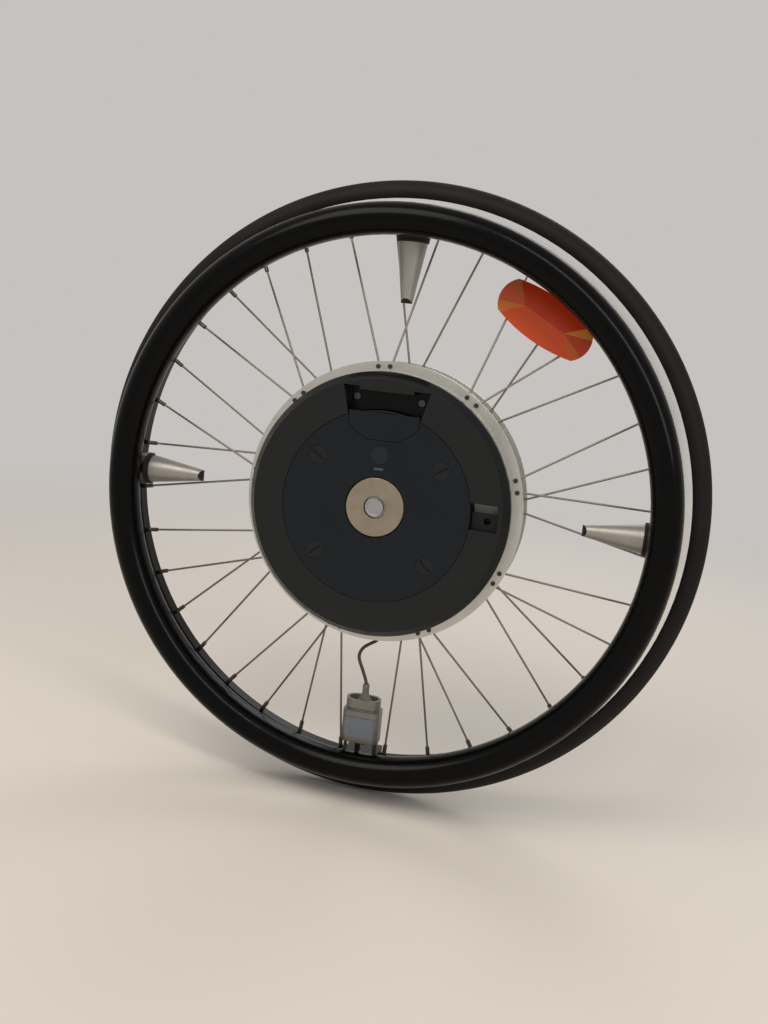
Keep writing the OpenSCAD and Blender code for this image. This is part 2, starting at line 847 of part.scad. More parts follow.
module bulkhead() color("lightslategray") on_axle() difference() {
    union() {
        out(bulkhead_out) cylinder(h = bulkhead_t, r = hub_in_r - fit_gap);
        out(front_bearing_out) cylinder(h = bearing_w + bulkhead_t / 2, r = boss_r);
        out(bulkhead_out) cylinder(h = disc_out - bulkhead_out, r = tube_r);
        for (x = [-1, 1]) translate([x * recess_screw_x, recess_screw_y, bulkhead_out])
            cylinder(h = face_out - recess_depth - recess_wall - bulkhead_out, r = post_r);
        for (i = [0 : standoff_count - 1])
            rotate([0, 0, board_start_angle + board_sweep_angle * (i + 0.5) / standoff_count])
                translate([(board_in_r + board_r) / 2, 0, bulkhead_out])
                    cylinder(h = bulkhead_t + board_lift, r = standoff_r);
    }
    out(front_bearing_out - overrun) cylinder(h = bearing_w + overrun, r = bearing_out_r);
    out(bulkhead_out - overrun) cylinder(h = disc_out - bulkhead_out + 2 * overrun, r = tube_in_r);
    for (x = [-1, 1]) translate([x * recess_screw_x, recess_screw_y, face_out - recess_depth - screw_grip])
        cylinder(h = screw_grip, r = screw_r + run_gap);
    translate([0, contact_y, bulkhead_out - overrun])
        linear_extrude(height = bulkhead_t + 2 * overrun)
            square([contact_block_w + 2 * fit_gap, contact_block_h + 2 * fit_gap], center = true);
}

module stator_core() color("dimgray") on_axle() out(core_out) {
    ring(stator_r, stator_r - yoke_w, core_t);
    around(tooth_count) intersection() {
        translate([tooth_r - tooth_w, -tooth_w / 2, 0])
            cube([stator_r - yoke_w - tooth_r + 2 * tooth_w, tooth_w, core_t]);
        ring(stator_r - yoke_w / 2, tooth_r, core_t);
    }
}

module stator_windings() color("#b06a32") on_axle() around(tooth_count)
    translate([tooth_r + coil_inset, 0, core_out]) difference() {
        translate([0, -tooth_w / 2 - coil_w, -coil_head])
            cube([coil_len, tooth_w + 2 * coil_w, core_t + 2 * coil_head]);
        translate([-overrun, -tooth_w / 2 - fit_gap, -fit_gap])
            cube([coil_len + 2 * overrun, tooth_w + 2 * fit_gap, core_t + 2 * fit_gap]);
    }

module control_board() color("#1f5a32") on_axle() out(deck_out + board_lift) {
    rotate([0, 0, board_start_angle]) rotate_extrude(angle = board_sweep_angle)
        translate([board_in_r, 0]) square([board_r - board_in_r, board_t]);
    for (i = [0 : chip_count - 1])
        rotate([0, 0, board_start_angle + board_sweep_angle * (i + 0.5) / chip_count])
            translate([board_in_r + chip_t, -chip_d / 2, board_t / 2])
                cube([chip_w, chip_d, chip_t + board_t / 2]);
    for (i = [1 : cap_count])
        rotate([0, 0, board_start_angle + board_sweep_angle * i / (cap_count + 1)])
            translate([board_r - cap_r - chip_t, 0, board_t / 2]) cylinder(h = cap_h, r = cap_r);
}

module contact_block() color("black") on_axle() translate([0, contact_y, 0]) {
    out(bulkhead_out) linear_extrude(height = bulkhead_t)
        square([contact_block_w, contact_block_h], center = true);
    for (i = [0 : contact_count - 1])
        translate([(i - (contact_count - 1) / 2) * contact_pitch, 0, deck_out - overrun])
            cylinder(h = tray_gap - contact_t - contact_lift + overrun, r = contact_pin_r);
}

// Outline of the finger recess, grown by a margin
module recess_shape(margin) {
    polygon([
        [-recess_bottom_half - margin, recess_bottom], [recess_bottom_half + margin, recess_bottom],
        [recess_top_half + margin, recess_top + margin],
        [recess_top_half - recess_tab_w - margin, recess_top + margin],
        [recess_top_half - recess_tab_w - margin, recess_mid_top + margin],
        [-recess_top_half + recess_tab_w + margin, recess_mid_top + margin],
        [-recess_top_half + recess_tab_w + margin, recess_top + margin],
        [-recess_top_half - margin, recess_top + margin]
    ]);
}

// Solid of the charging pocket, grown by a margin, with its floor lowered by the same
module pocket_shape(margin) {
    top = face_out + overrun;
    floor_out = face_out - pocket_depth - margin;
    rise = (top - floor_out) / pocket_depth;
    up = pocket_floor_top + margin;
    down = pocket_floor_bottom + margin;
    up_lip = up + rise * (pocket_top - pocket_floor_top);
    down_lip = down + rise * (pocket_bottom - pocket_floor_bottom);
    translate([seam_r - overrun, 0, 0]) rotate([90, 0, 90])
        linear_extrude(height = pocket_end - seam_r + overrun + margin)
            polygon([[-down, floor_out], [up, floor_out], [up_lip, top], [-down_lip, top]]);
}

module cover_ring() color("#26292c") on_axle() difference() {
    union() {
        rotate_extrude() difference() {
            union() {
                translate([seam_r, lid_out]) square([cover_ridge_r - seam_r, lid_t]);
                translate([seam_r, deck_out + fit_gap]) square([cover_skirt_t, lid_out - deck_out]);
                translate([cover_r - cover_skirt_t, cover_edge_out])
                    square([cover_skirt_t, cover_h - cover_round]);
                translate([hub_in_r - fit_gap - cover_spigot_t, cover_edge_out - cover_spigot_h])
                    square([cover_spigot_t, cover_spigot_h + cover_h - cover_round]);
                translate([hub_in_r - fit_gap - cover_spigot_t, cover_edge_out])
                    square([
                        cover_r - hub_in_r + fit_gap + cover_spigot_t - cover_skirt_t / 2, cover_skirt_t
                    ]);
                polygon([
                    [cover_ridge_r - lid_t, face_out], [cover_ridge_r, face_out],
                    [cover_r, face_out - cover_round], [cover_r - cover_skirt_t, face_out - cover_round],
                    [cover_ridge_r - lid_t, lid_out]
                ]);
            }
        }
        intersection() {
            out(face_out - recess_depth - recess_wall)
                linear_extrude(height = recess_depth) recess_shape(recess_wall);
            out(deck_out) ring(hub_in_r - fit_gap - cover_spigot_t / 2, seam_r, face_out);
        }
        intersection() {
            pocket_shape(pocket_wall);
            out(deck_out)
                ring(hub_in_r - fit_gap - cover_spigot_t / 2, seam_r, lid_out + lid_t / 2 - deck_out);
        }
    }
    out(face_out - recess_depth) linear_extrude(height = recess_depth + overrun) recess_shape(0);
    pocket_shape(0);
    translate([socket_x, 0, lid_out - pocket_depth - pocket_wall])
        cylinder(h = pocket_depth, r = socket_r + seam_gap / 2);
    for (x = [-1, 1])
        translate([x * recess_screw_x, recess_screw_y, face_out - recess_depth - recess_wall - overrun])
            cylinder(h = recess_wall + 2 * overrun, r = screw_r + run_gap);
}

module cover_screws() color("gray") on_axle() for (x = [-1, 1])
    translate([x * recess_screw_x, recess_screw_y, face_out - recess_depth]) difference() {
        union() {
            cylinder(h = screw_head_t, r = screw_head_r);
            out(-screw_grip) cylinder(h = screw_grip, r = screw_r);
        }
        out(screw_head_t - screw_slot_depth) linear_extrude(height = screw_slot_depth + overrun) {
            square([2 * screw_head_r - screw_slot_w, screw_slot_w], center = true);
            square([screw_slot_w, 2 * screw_head_r - screw_slot_w], center = true);
        }
    }

module charging_socket() color("black") on_axle() {
    top = face_out - pocket_depth - pocket_wall;
    translate([socket_x, 0, top - socket_len]) difference() {
        union() {
            out(-socket_floor) cylinder(h = socket_len + socket_floor, r = socket_body_r);
            out(socket_len - socket_flange_t) cylinder(h = socket_flange_t, r = socket_flange_r);
        }
        cylinder(h = socket_len + overrun, r = socket_r);
    }
}

module centre_disc() color("#b9b3a4") on_axle() out(disc_out) difference() {
    rotate_extrude() polygon([
        [disc_bore_r, 0], [disc_r, 0], [disc_r, disc_t - disc_edge], [disc_r - disc_edge, disc_t],
        [disc_bore_r + disc_bore_edge, disc_t], [disc_bore_r, disc_t - disc_bore_edge]
    ]);
}

// Battery pack, which slides out of the hub

// Outline of the handle flap, grown by a margin
module handle_shape(margin) {
    intersection() {
        translate([0, handle_arc_y]) circle(r = handle_arc_r + margin);
        translate([-handle_half - margin, handle_low - margin])
            square([2 * (handle_half + margin), handle_top - handle_low + 2 * margin]);
    }
}

// Room for the flap's lower edge to turn at its hinge, grown by a margin
module hinge_notch(margin) {
    translate([-handle_notch_half - margin, handle_low - seam_gap - margin])
        square([2 * (handle_notch_half + margin), handle_notch_h + 2 * margin]);
}

// Runs its children at each lid lock
module at_locks() {
    for (angle = [lock_upper_angle, 180 - lock_upper_angle, lock_lower_angle, 180 - lock_lower_angle])
        translate(polar(lock_circle_r, angle, 0)) children();
}

module battery_lid() color("#222529") on_axle() difference() {
    union() {
        out(lid_out) cylinder(h = lid_t, r = seam_r - seam_gap);
        out(tray_top_out) ring(tray_r, tray_r - lid_skirt_t, lid_skirt_h + lid_t / 2);
        out(pan_out - pan_t) linear_extrude(height = pan_depth + pan_t + lid_t / 2) intersection() {
            union() {
                handle_shape(seam_gap + pan_wall);
                hinge_notch(pan_wall);
            }
            circle(r = tray_r - lid_skirt_t / 2);
        }
    }
    out(tray_top_out - overrun) cylinder(h = face_out, r = disc_r + seam_gap);
    out(pan_out) linear_extrude(height = pan_depth + lid_t + overrun) intersection() {
        union() {
            handle_shape(seam_gap);
            hinge_notch(0);
        }
        circle(r = tray_r - lid_skirt_t - pan_wall);
    }
    out(lid_out - lid_t / 2) linear_extrude(height = 2 * lid_t) {
        handle_shape(seam_gap);
        translate([-handle_half - seam_gap, handle_top])
            square([2 * (handle_half + seam_gap), seam_r + overrun - handle_top]);
    }
    translate([-handle_pin_len / 2 - run_gap, handle_axis_y, handle_axis_out]) rotate([0, 90, 0])
        cylinder(h = handle_pin_len + 2 * run_gap, r = handle_pin_r + run_gap);
    at_locks() {
        out(lid_out - overrun) cylinder(h = lid_t, r = lock_shank_r + run_gap);
        out(face_out - lock_head_t - run_gap) cylinder(h = lid_t, r = lock_r + move_gap);
    }
    translate([0, button_y, lid_out - overrun]) cylinder(h = lid_t + 2 * overrun, r = button_r + run_gap);
    translate([0, light_y, lid_out + lid_t / 2]) cube([light_w, light_h, 2 * lid_t], center = true);
}

module battery_tray() color("#2e3135") on_axle() out(tray_out) {
    ring(tray_r, tray_in_r, tray_wall);
    ring(tray_r, tray_r - tray_wall, tray_top_out - tray_out);
    ring(tray_in_r + tray_wall, tray_in_r, tray_top_out - tray_out);
}

// Runs its children at each cell
module at_cells() {
    around(inner_cells) translate([inner_cells_r, 0, 0]) children();
    around(outer_cells) translate([outer_cells_r, 0, 0]) children();
}

module battery_cells() color("#3c6ea5") on_axle() out(cells_out) at_cells()
    cylinder(h = cell_len, r = cell_r);

module cell_links() color("gainsboro") on_axle() out(cells_end_out) {
    for (i = [0 : 2 : inner_cells - 1]) rotate([0, 0, i * 360 / inner_cells])
        rotate_extrude(angle = 360 / inner_cells)
            translate([inner_cells_r - link_w / 2, 0]) square([link_w, link_t]);
    for (i = [0 : 2 : outer_cells - 1]) rotate([0, 0, i * 360 / outer_cells])
        rotate_extrude(angle = 360 / outer_cells)
            translate([outer_cells_r - link_w / 2, 0]) square([link_w, link_t]);
}

module battery_contacts() color("gold") on_axle() for (i = [0 : contact_count - 1])
    translate([(i - (contact_count - 1) / 2) * contact_pitch, contact_y, tray_out - contact_t])
        cylinder(h = contact_t, r = contact_r);

module lid_gasket() color("black") on_axle() out(gasket_out)
    ring(seam_r - move_gap, tray_r + run_gap, gasket_w);

module button_switch() color("dimgray") on_axle() translate([0, button_y, cells_end_out + link_t]) {
    room = lid_out - button_flange_t - move_gap - button_travel - cells_end_out - link_t - move_gap;
    out(room / 2) cube([switch_w, switch_w, room], center = true);
}

module status_light() color("#8fb3c9") on_axle() translate([0, light_y, face_out - light_t / 2])
    cube([light_w - 2 * fit_gap, light_h - 2 * fit_gap, light_t], center = true);

module handle() color("#24272b") on_axle() difference() {
    out(face_out - handle_t) linear_extrude(height = handle_t) handle_shape(0);
    translate([-handle_arc_r, handle_axis_y, handle_axis_out]) rotate([0, 90, 0])
        cylinder(h = 2 * handle_arc_r, r = handle_pin_r + run_gap);
}

module handle_pin() color("silver") on_axle() translate([-handle_pin_len / 2, handle_axis_y, handle_axis_out])
    rotate([0, 90, 0]) cylinder(h = handle_pin_len, r = handle_pin_r);

// One quarter-turn lock of the lid
module lid_lock(angle) color("#2f3236") on_axle()
    translate(polar(lock_circle_r, angle, 0)) rotate([0, 0, angle]) {
        difference() {
            out(face_out - lock_head_t) cylinder(h = lock_head_t, r = lock_r);
            out(face_out - lock_slot_depth) linear_extrude(height = lock_slot_depth + overrun)
                square([2 * lock_r - 2 * lock_slot_w, lock_slot_w], center = true);
        }
        out(lid_out - move_gap - lock_cam_t)
            cylinder(h = lid_t + move_gap + lock_cam_t - lock_head_t, r = lock_shank_r);
        out(lid_out - move_gap - lock_cam_t) linear_extrude(height = lock_cam_t)
            square([lock_cam_w, lock_cam_len], center = true);
    }

module lock_upper_right() lid_lock(lock_upper_angle);
module lock_upper_left() lid_lock(180 - lock_upper_angle);
module lock_lower_left() lid_lock(180 - lock_lower_angle);
module lock_lower_right() lid_lock(lock_lower_angle);

module power_button() color("#33373b") on_axle() translate([0, button_y, 0]) {
    out(lid_out - move_gap) cylinder(h = lid_t + move_gap + button_proud, r = button_r);
    out(lid_out - move_gap - button_flange_t) cylinder(h = button_flange_t, r = button_r + button_flange);
}

// Quick release inside the axle

module release_button() color("#9a9a98") on_axle() out(face_out + release_proud - release_t) difference() {
    cylinder(h = release_t, r = release_r);
    out(release_t - release_dish) cylinder(h = release_dish + overrun, r = release_r - release_proud);
}

module release_rod() color("darkgray") on_axle() {
    rod_end = lock_ball_out + ramp_len + neck_len;
    top = face_out + release_proud - release_t;
    out(rod_end) cylinder(h = top - rod_end, r = rod_r);
    out(lock_ball_out + ramp_len) cylinder(h = neck_len, r = neck_r);
    out(lock_ball_out) cylinder(h = ramp_len, r1 = ramp_r, r2 = neck_r);
    out(lock_ball_out - rod_tip) cylinder(h = rod_tip, r = ramp_r);
}

module release_spring() color("gray") on_axle() {
    base = head_out + head_floor + spring_wire_r + run_gap;
    top = face_out + release_proud - release_t - spring_wire_r - run_gap;
    count = spring_turns * spring_steps;
    path = [for (i = [0 : count]) polar(spring_r, i * 360 / spring_steps, base + (top - base) * i / count)];
    tube(path, spring_wire_r, spring_sides, [0, 0, 1]);
}

// One of the two balls that lock the axle in its receiver
module lock_ball(side) color("silver") on_axle() translate([side * lock_ball_centre, 0, lock_ball_out])
    sphere(r = lock_ball_r);

module lock_ball_right() lock_ball(1);
module lock_ball_left() lock_ball(-1);

// Spoked wheel

module spokes_front() color("lightgray") on_axle() front_spokes();
module spokes_rear() color("lightgray") on_axle() rear_spokes();

module spoke_nipples() color("silver") on_axle() for (k = [0 : spoke_pairs - 1], side = [-1, 1]) {
    nipple(front_hub_point(k, side), front_rim_point(k, side));
    nipple(rear_hub_point(k, side), rear_rim_point(k, side));
}

module rim() color("#d6d8da") on_axle() difference() {
    half = rim_w / 2;
    bed = rim_bed_w / 2;
    out(wheel_out) rotate_extrude($fn = 180) polygon([
        [rim_lip_r, half], [rim_shoulder_r, half], [rim_bed_r, bed],
        [rim_bed_r, -bed], [rim_shoulder_r, -half], [rim_lip_r, -half],
        [rim_lip_r, rim_wall - half], [rim_shoulder_r + rim_wall / 2, rim_wall - half],
        [rim_bed_r + rim_wall, -bed], [rim_bed_r + rim_wall, bed],
        [rim_shoulder_r + rim_wall / 2, half - rim_wall], [rim_lip_r, half - rim_wall]
    ]);
    for (k = [0 : spoke_pairs - 1], side = [-1, 1]) {
        rim_hole(front_hub_point(k, side), front_rim_point(k, side));
        rim_hole(rear_hub_point(k, side), rear_rim_point(k, side));
    }
    around(4) translate([rim_bed_r - overrun, 0, wheel_out]) rotate([0, 90, 0])
        cylinder(h = rim_wall + 2 * overrun, r = foot_screw_r + run_gap);
}

// Hole in the rim for one nipple
module rim_hole(hub, rim) {
    d = unit(rim - hub);
    bar(rim - d * 2 * rim_wall, rim + d * 2 * rim_wall, nipple_r + nipple_gap);
}

module tyre() color("#1c1c1d") on_axle() out(wheel_out) rotate_extrude($fn = 180) {
    base_w = rim_w - 2 * rim_wall - 2 * fit_gap;
    difference() {
        translate([tyre_r - tyre_w / 2, 0]) circle(d = tyre_w);
        translate([tyre_r - 2 * tyre_w, -tyre_w])
            square([rim_lip_r + fit_gap - tyre_r + 2 * tyre_w, 2 * tyre_w]);
    }
    translate([tyre_seat_r, -base_w / 2]) square([tyre_r - tyre_w / 2 - tyre_seat_r, base_w]);
}

// Spoke reflector

// Places a piece drawn with x along the reflector on its spokes
module on_reflector() {
    rotate([0, 0, reflector_angle]) translate([reflector_r, 0, reflector_out])
        rotate([0, 0, -90 + reflector_turn]) children();
}

// Outline of the reflector: round ends and slightly bowed sides
module reflector_shape() {
    intersection() {
        rotate([0, 0, 90]) stadium(reflector_w, reflector_len);
        translate([0, reflector_bow_r - reflector_w / 2]) circle(r = reflector_bow_r);
        translate([0, reflector_w / 2 - reflector_bow_r]) circle(r = reflector_bow_r);
    }
}

module reflector_lens() color("#e0561c") on_axle() on_reflector() intersection() {
    half_w = reflector_w / 2 + overrun;
    half_len = reflector_len / 2 + overrun;
    out(reflector_back_t) linear_extrude(height = reflector_t + reflector_ridge) reflector_shape();
    translate([-half_len, 0, reflector_back_t]) rotate([90, 0, 90]) linear_extrude(height = 2 * half_len)
        polygon([
            [-half_w, -overrun], [half_w, -overrun], [half_w, reflector_t],
            [0, reflector_t + reflector_ridge], [-half_w, reflector_t]
        ]);
    translate([0, half_w, reflector_back_t]) rotate([90, 0, 0]) linear_extrude(height = 2 * half_w)
        polygon([
            [-half_len, -overrun], [half_len, -overrun], [half_len, reflector_end_t],
            [half_len - reflector_hip, reflector_t + reflector_ridge],
            [reflector_hip - half_len, reflector_t + reflector_ridge], [-half_len, reflector_end_t]
        ]);
}

module reflector_back() color("#d8792a") on_axle() {
    k = spoke_pairs - 1;
    difference() {
        union() {
            on_reflector() linear_extrude(height = reflector_back_t) {
                reflector_shape();
                translate([reflector_reach(k, 1), -reflector_clip_r])
                    square([reflector_reach(k, -1) - reflector_reach(k, 1), 2 * reflector_clip_r]);
            }
            for (side = [-1, 1]) {
                at = reflector_grip(k, side);
                d = unit(front_rim_point(k, side) - front_hub_point(k, side)) * reflector_clip_len / 2;
                bar(at - d, at + d, reflector_clip_r);
                bar(at, [at[0], at[1], reflector_out + reflector_back_t / 2], reflector_clip_r);
            }
        }
        for (side = [-1, 1])
            bar(front_hub_point(k, side), front_rim_point(k, side), spoke_r + run_gap);
    }
}

// Point where a spoke passes through the reflector's clip
function reflector_grip(k, side) =
    let (
        hub = front_hub_point(k, side), run = front_rim_point(k, side) - hub,
        across = polar(1, reflector_angle + reflector_turn, 0),
        gap = polar(reflector_r, reflector_angle, hub[2]) - hub
    )
    hub + run * (gap * across) / (run * across);

// Distance of that point along the reflector from its middle
function reflector_reach(k, side) =
    (reflector_grip(k, side) - polar(reflector_r, reflector_angle, 0))
        * polar(1, reflector_angle + reflector_turn - 90, 0);

// Spring housings and sensor between the wheel and the push rim

// Block of a housing's foot, bolted to the rim, and any legs that stand on it
module foot(left, right) {
    intersection() {
        difference() {
            union() {
                translate([-left, foot_r - foot_t - foot_tail / 2, wheel_out - foot_tail])
                    cube([left + right, 2 * foot_t, bracket_out + bracket_wall + foot_tail - wheel_out]);
                children();
            }
            translate([0, foot_r - 4 * foot_t, wheel_out]) rotate([-90, 0, 0])
                cylinder(h = 5 * foot_t, r = foot_screw_r + run_gap);
        }
        cylinder(h = push_rim_out, r = foot_r, $fn = 180);
    }
}

module spring_housing() {
    hollow_from = bracket_tip_r + bracket_slant + bracket_wall;
    slope = (bracket_base_half - bracket_tip_half) / bracket_len;
    hollow_half = bracket_tip_half + slope * (bracket_slant + bracket_wall) - bracket_wall;
    hollow_len = bracket_len + overrun - bracket_slant - bracket_wall;
    difference() {
        intersection() {
            translate([0, bracket_tip_r, bracket_out]) rotate([-90, 0, 0])
                cylinder(h = bracket_len, r1 = bracket_tip_half, r2 = bracket_base_half);
            translate([0, bracket_tip_r, bracket_out])
                slab(2 * bracket_base_half, bracket_len, bracket_base_half);
        }
        intersection() {
            translate([0, hollow_from, bracket_out]) rotate([-90, 0, 0])
                cylinder(h = hollow_len, r1 = hollow_half, r2 = hollow_half + slope * hollow_len);
            translate([0, bracket_tip_r, bracket_out + bracket_wall])
                slab(2 * bracket_base_half, bracket_len + overrun, bracket_base_half);
        }
        translate([-bracket_base_half, 0, bracket_out + bracket_lip]) rotate([90, 0, 90])
            linear_extrude(height = 2 * bracket_base_half) polygon([
                [bracket_tip_r - overrun, 0], [bracket_tip_r, 0],
                [bracket_tip_r + 2 * bracket_slant, 2 * bracket_tip_half],
                [bracket_tip_r - overrun, 2 * bracket_tip_half]
            ]);
    }
    foot(foot_half, foot_half) translate([0, bracket_base_r - foot_t, bracket_out])
        slab(2 * foot_half, foot_r + foot_t - bracket_base_r, bracket_wall);
}

module spring_housings() color("#c3c2bd") on_axle() for (angle = bracket_angles) rotate([0, 0, angle - 90])
    spring_housing();

module housing_screws() color("gray") on_axle() around(4) {
    translate([foot_r - foot_t, 0, wheel_out]) rotate([0, 90, 0])
        cylinder(h = foot_t + rim_wall + fit_gap, r = foot_screw_r);
    translate([rim_bed_r + rim_wall, 0, wheel_out]) rotate([0, 90, 0])
        cylinder(h = foot_screw_head_t, r = foot_screw_head_r);
}

module centring_springs() color("silver") on_axle() for (angle = bracket_angles) rotate([0, 0, angle - 90]) {
    from = bracket_tip_r + leaf_tail;
    translate([0, from, bracket_out + bracket_wall + fit_gap])
        slab(leaf_t, push_rim_in_r - arm_reach - leaf_gap - from, leaf_w);
}

// Rounded section of the sensor housing, shrunk by a margin
module sensor_section(margin) {
    translate([0, sensor_mid_out])
        round_rect(sensor_w - 2 * margin, sensor_d - 2 * margin, sensor_round - margin);
}

// Oval section of the collar, shrunk by a margin
module collar_section(margin) {
    translate([0, sensor_mid_out]) rotate([0, 0, 90]) stadium(collar_d - 2 * margin, collar_w - 2 * margin);
}

// Turns a piece drawn at the top of the wheel down to the sensor
module at_sensor() {
    rotate([0, 0, sensor_angle + sensor_turn - 90]) children();
}

// Front shell of the sensor housing's section, between two depths below its surface
module window_section(from, to, width) {
    difference() {
        intersection() {
            sensor_section(from);
            translate([-width / 2, sensor_mid_out]) square([width, sensor_d]);
        }
        sensor_section(to);
    }
}

// One leg between the sensor housing and its foot
module sensor_leg(x, width) {
    root_r = sensor_end_r - leg_root;
    step_r = sensor_end_r + leg_step;
    translate([x, root_r, sensor_out + leg_lift]) cube([width, foot_r - root_r, leg_d - leg_lift]);
    translate([x, step_r, bracket_out]) cube([width, foot_r - step_r, leg_d - sensor_drop]);
}

module sensor_housing() color("#c9c8c3") on_axle() {
    window_from = sensor_top_r + (sensor_h - window_h) / 2;
    groove_r = sensor_top_r - collar_groove_h;
    at_sensor() difference() {
        union() {
            along_radius(sensor_top_r, sensor_end_r) sensor_section(0);
            along_radius(sensor_top_r - collar_h, groove_r) collar_section(0);
            along_radius(groove_r - overrun, sensor_top_r + sensor_wall) collar_section(collar_groove_depth);
        }
        along_radius(sensor_top_r + sensor_wall, sensor_end_r + overrun) sensor_section(sensor_wall);
        along_radius(sensor_top_r - collar_h - overrun, sensor_top_r) collar_section(collar_wall);
        translate([-cable_gland_x, sensor_top_r - overrun, sensor_mid_out]) rotate([-90, 0, 0])
            cylinder(h = sensor_wall + 2 * overrun, r = gland_tip_r);
        along_radius(window_from, window_from + window_h)
            window_section(-overrun, window_sink, window_w);
    }
    rotate([0, 0, sensor_angle - 90]) foot(leg_right + leg_right_w, leg_left + leg_left_w) {
        sensor_leg(leg_left, leg_left_w);
        sensor_leg(-leg_right - leg_right_w, leg_right_w);
    }
}

module sensor_window() color("#7f8fa3") on_axle() at_sensor()
    along_radius(
        sensor_top_r + (sensor_h - window_h) / 2 + fit_gap, sensor_top_r + (sensor_h + window_h) / 2 - fit_gap
    )
        window_section(-window_proud, window_sink - run_gap, window_w - 2 * fit_gap);

module sensor_gland() color("#8a8174") on_axle() at_sensor()
    translate([-cable_gland_x, sensor_top_r, sensor_mid_out]) rotate([90, 0, 0]) difference() {
        union() {
            cylinder(h = gland_h, r1 = gland_r, r2 = gland_tip_r);
            out(-sensor_wall) cylinder(h = sensor_wall + overrun, r = gland_tip_r - run_gap);
        }
        out(-sensor_wall - overrun)
            cylinder(h = gland_h + sensor_wall + 2 * overrun, r = cable_d / 2 + run_gap);
    }

module sensor_cable() color("#3a332d") on_axle() tube(cable_route, cable_d / 2, cable_sides, [1, 0, 0]);

module sensor_board() color("#1f5a32") on_axle() at_sensor() {
    board_out = sensor_out + sensor_d - sensor_wall - sensor_board_gap - board_t;
    translate([0, sensor_top_r + sensor_wall + sensor_board_h / 2, board_out]) {
        slab(sensor_board_w, sensor_board_h, board_t);
        translate([0, sensor_board_h / 2, -sensor_chip_t])
            slab(sensor_chip_w, sensor_chip_w, sensor_chip_t + board_t / 2);
    }
}

// Push rim

module push_rim_solid(margin) {
    out(push_rim_out) rotate_extrude($fn = 180) translate([push_rim_r, 0])
        stadium(push_rim_t + 2 * margin, push_rim_w + 2 * margin);
}

module push_rim() color("#141516") on_axle() difference() {
    push_rim_solid(0);
    push_rim_solid(-push_rim_wall);
    around(4) translate([push_rim_r - arm_foot_inset, 0, arm_out])
        cylinder(h = push_rim_out - arm_out, r = arm_bolt_r + run_gap);
}

module push_rim_arms() color("#2b2623") on_axle() around(4) difference() {
    union() {
        translate([push_rim_in_r - arm_reach, -arm_half, arm_out])
            cube([push_rim_r - arm_foot_inset - push_rim_in_r + arm_reach, 2 * arm_half, arm_t]);
        translate([push_rim_r - arm_foot_inset, 0, arm_out])
            cylinder(h = push_rim_out - arm_out, r = arm_foot_r);
    }
    push_rim_solid(run_gap);
    out(push_rim_out - push_rim_wall) cylinder(h = push_rim_w, r = tyre_r);
    translate([push_rim_r - arm_foot_inset, 0, arm_out - overrun])
        cylinder(h = push_rim_out - arm_out, r = arm_bolt_r + run_gap);
    translate([push_rim_r - arm_foot_inset, 0, arm_out - overrun])
        cylinder(h = arm_bolt_head_t + overrun + fit_gap, r = arm_bolt_head_r + fit_gap);
}

module arm_bolts() color("gray") on_axle() around(4) translate([push_rim_r - arm_foot_inset, 0, arm_out]) {
    cylinder(h = push_rim_out - push_rim_w / 2 + arm_bolt_grip - arm_out, r = arm_bolt_r);
    cylinder(h = arm_bolt_head_t, r = arm_bolt_head_r);
}

quick_release_axle();
hub_spindle();
torque_plate();
torque_studs();
magnet_carrier();
rotor_magnets();
bearing_inner_rings();
bearing_balls();
bearing_outer_rings();
rear_seal();
hub_ring();
rear_housing();
rear_screws();
bulkhead();
stator_core();
stator_windings();
control_board();
contact_block();
cover_ring();
cover_screws();
charging_socket();
centre_disc();
battery_lid();
battery_tray();
battery_cells();
cell_links();
battery_contacts();
lid_gasket();
button_switch();
status_light();
handle();
handle_pin();
lock_upper_right();
lock_upper_left();
lock_lower_left();
lock_lower_right();
power_button();
release_button();
release_rod();
release_spring();
lock_ball_right();
lock_ball_left();
spokes_front();
spokes_rear();
spoke_nipples();
rim();
tyre();
reflector_lens();
reflector_back();
spring_housings();
housing_screws();
centring_springs();
sensor_housing();
sensor_window();
sensor_gland();
sensor_cable();
sensor_board();
push_rim();
push_rim_arms();
arm_bolts();
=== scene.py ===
"""Looks of a power-assist drive wheel: finishes for its solids, finer surfaces for some, and the studio."""

import logging
import math
from dataclasses import dataclass
from enum import Enum
from typing import Any

import bpy
import numpy as np
from mathutils import Matrix, Vector


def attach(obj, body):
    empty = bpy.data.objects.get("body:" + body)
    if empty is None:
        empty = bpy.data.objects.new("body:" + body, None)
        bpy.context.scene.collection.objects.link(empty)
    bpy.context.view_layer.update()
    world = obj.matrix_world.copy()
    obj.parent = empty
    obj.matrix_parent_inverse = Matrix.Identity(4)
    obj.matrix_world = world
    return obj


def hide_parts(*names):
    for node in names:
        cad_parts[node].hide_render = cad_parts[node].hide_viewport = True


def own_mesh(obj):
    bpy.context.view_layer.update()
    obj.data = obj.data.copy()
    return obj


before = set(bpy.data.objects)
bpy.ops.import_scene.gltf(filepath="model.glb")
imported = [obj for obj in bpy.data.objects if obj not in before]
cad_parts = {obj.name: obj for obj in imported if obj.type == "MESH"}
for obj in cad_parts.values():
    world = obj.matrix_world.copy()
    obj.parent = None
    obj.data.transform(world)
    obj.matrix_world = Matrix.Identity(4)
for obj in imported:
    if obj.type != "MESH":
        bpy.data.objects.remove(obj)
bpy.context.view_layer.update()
LOG = logging.getLogger("drive_wheel")
MM = 0.001


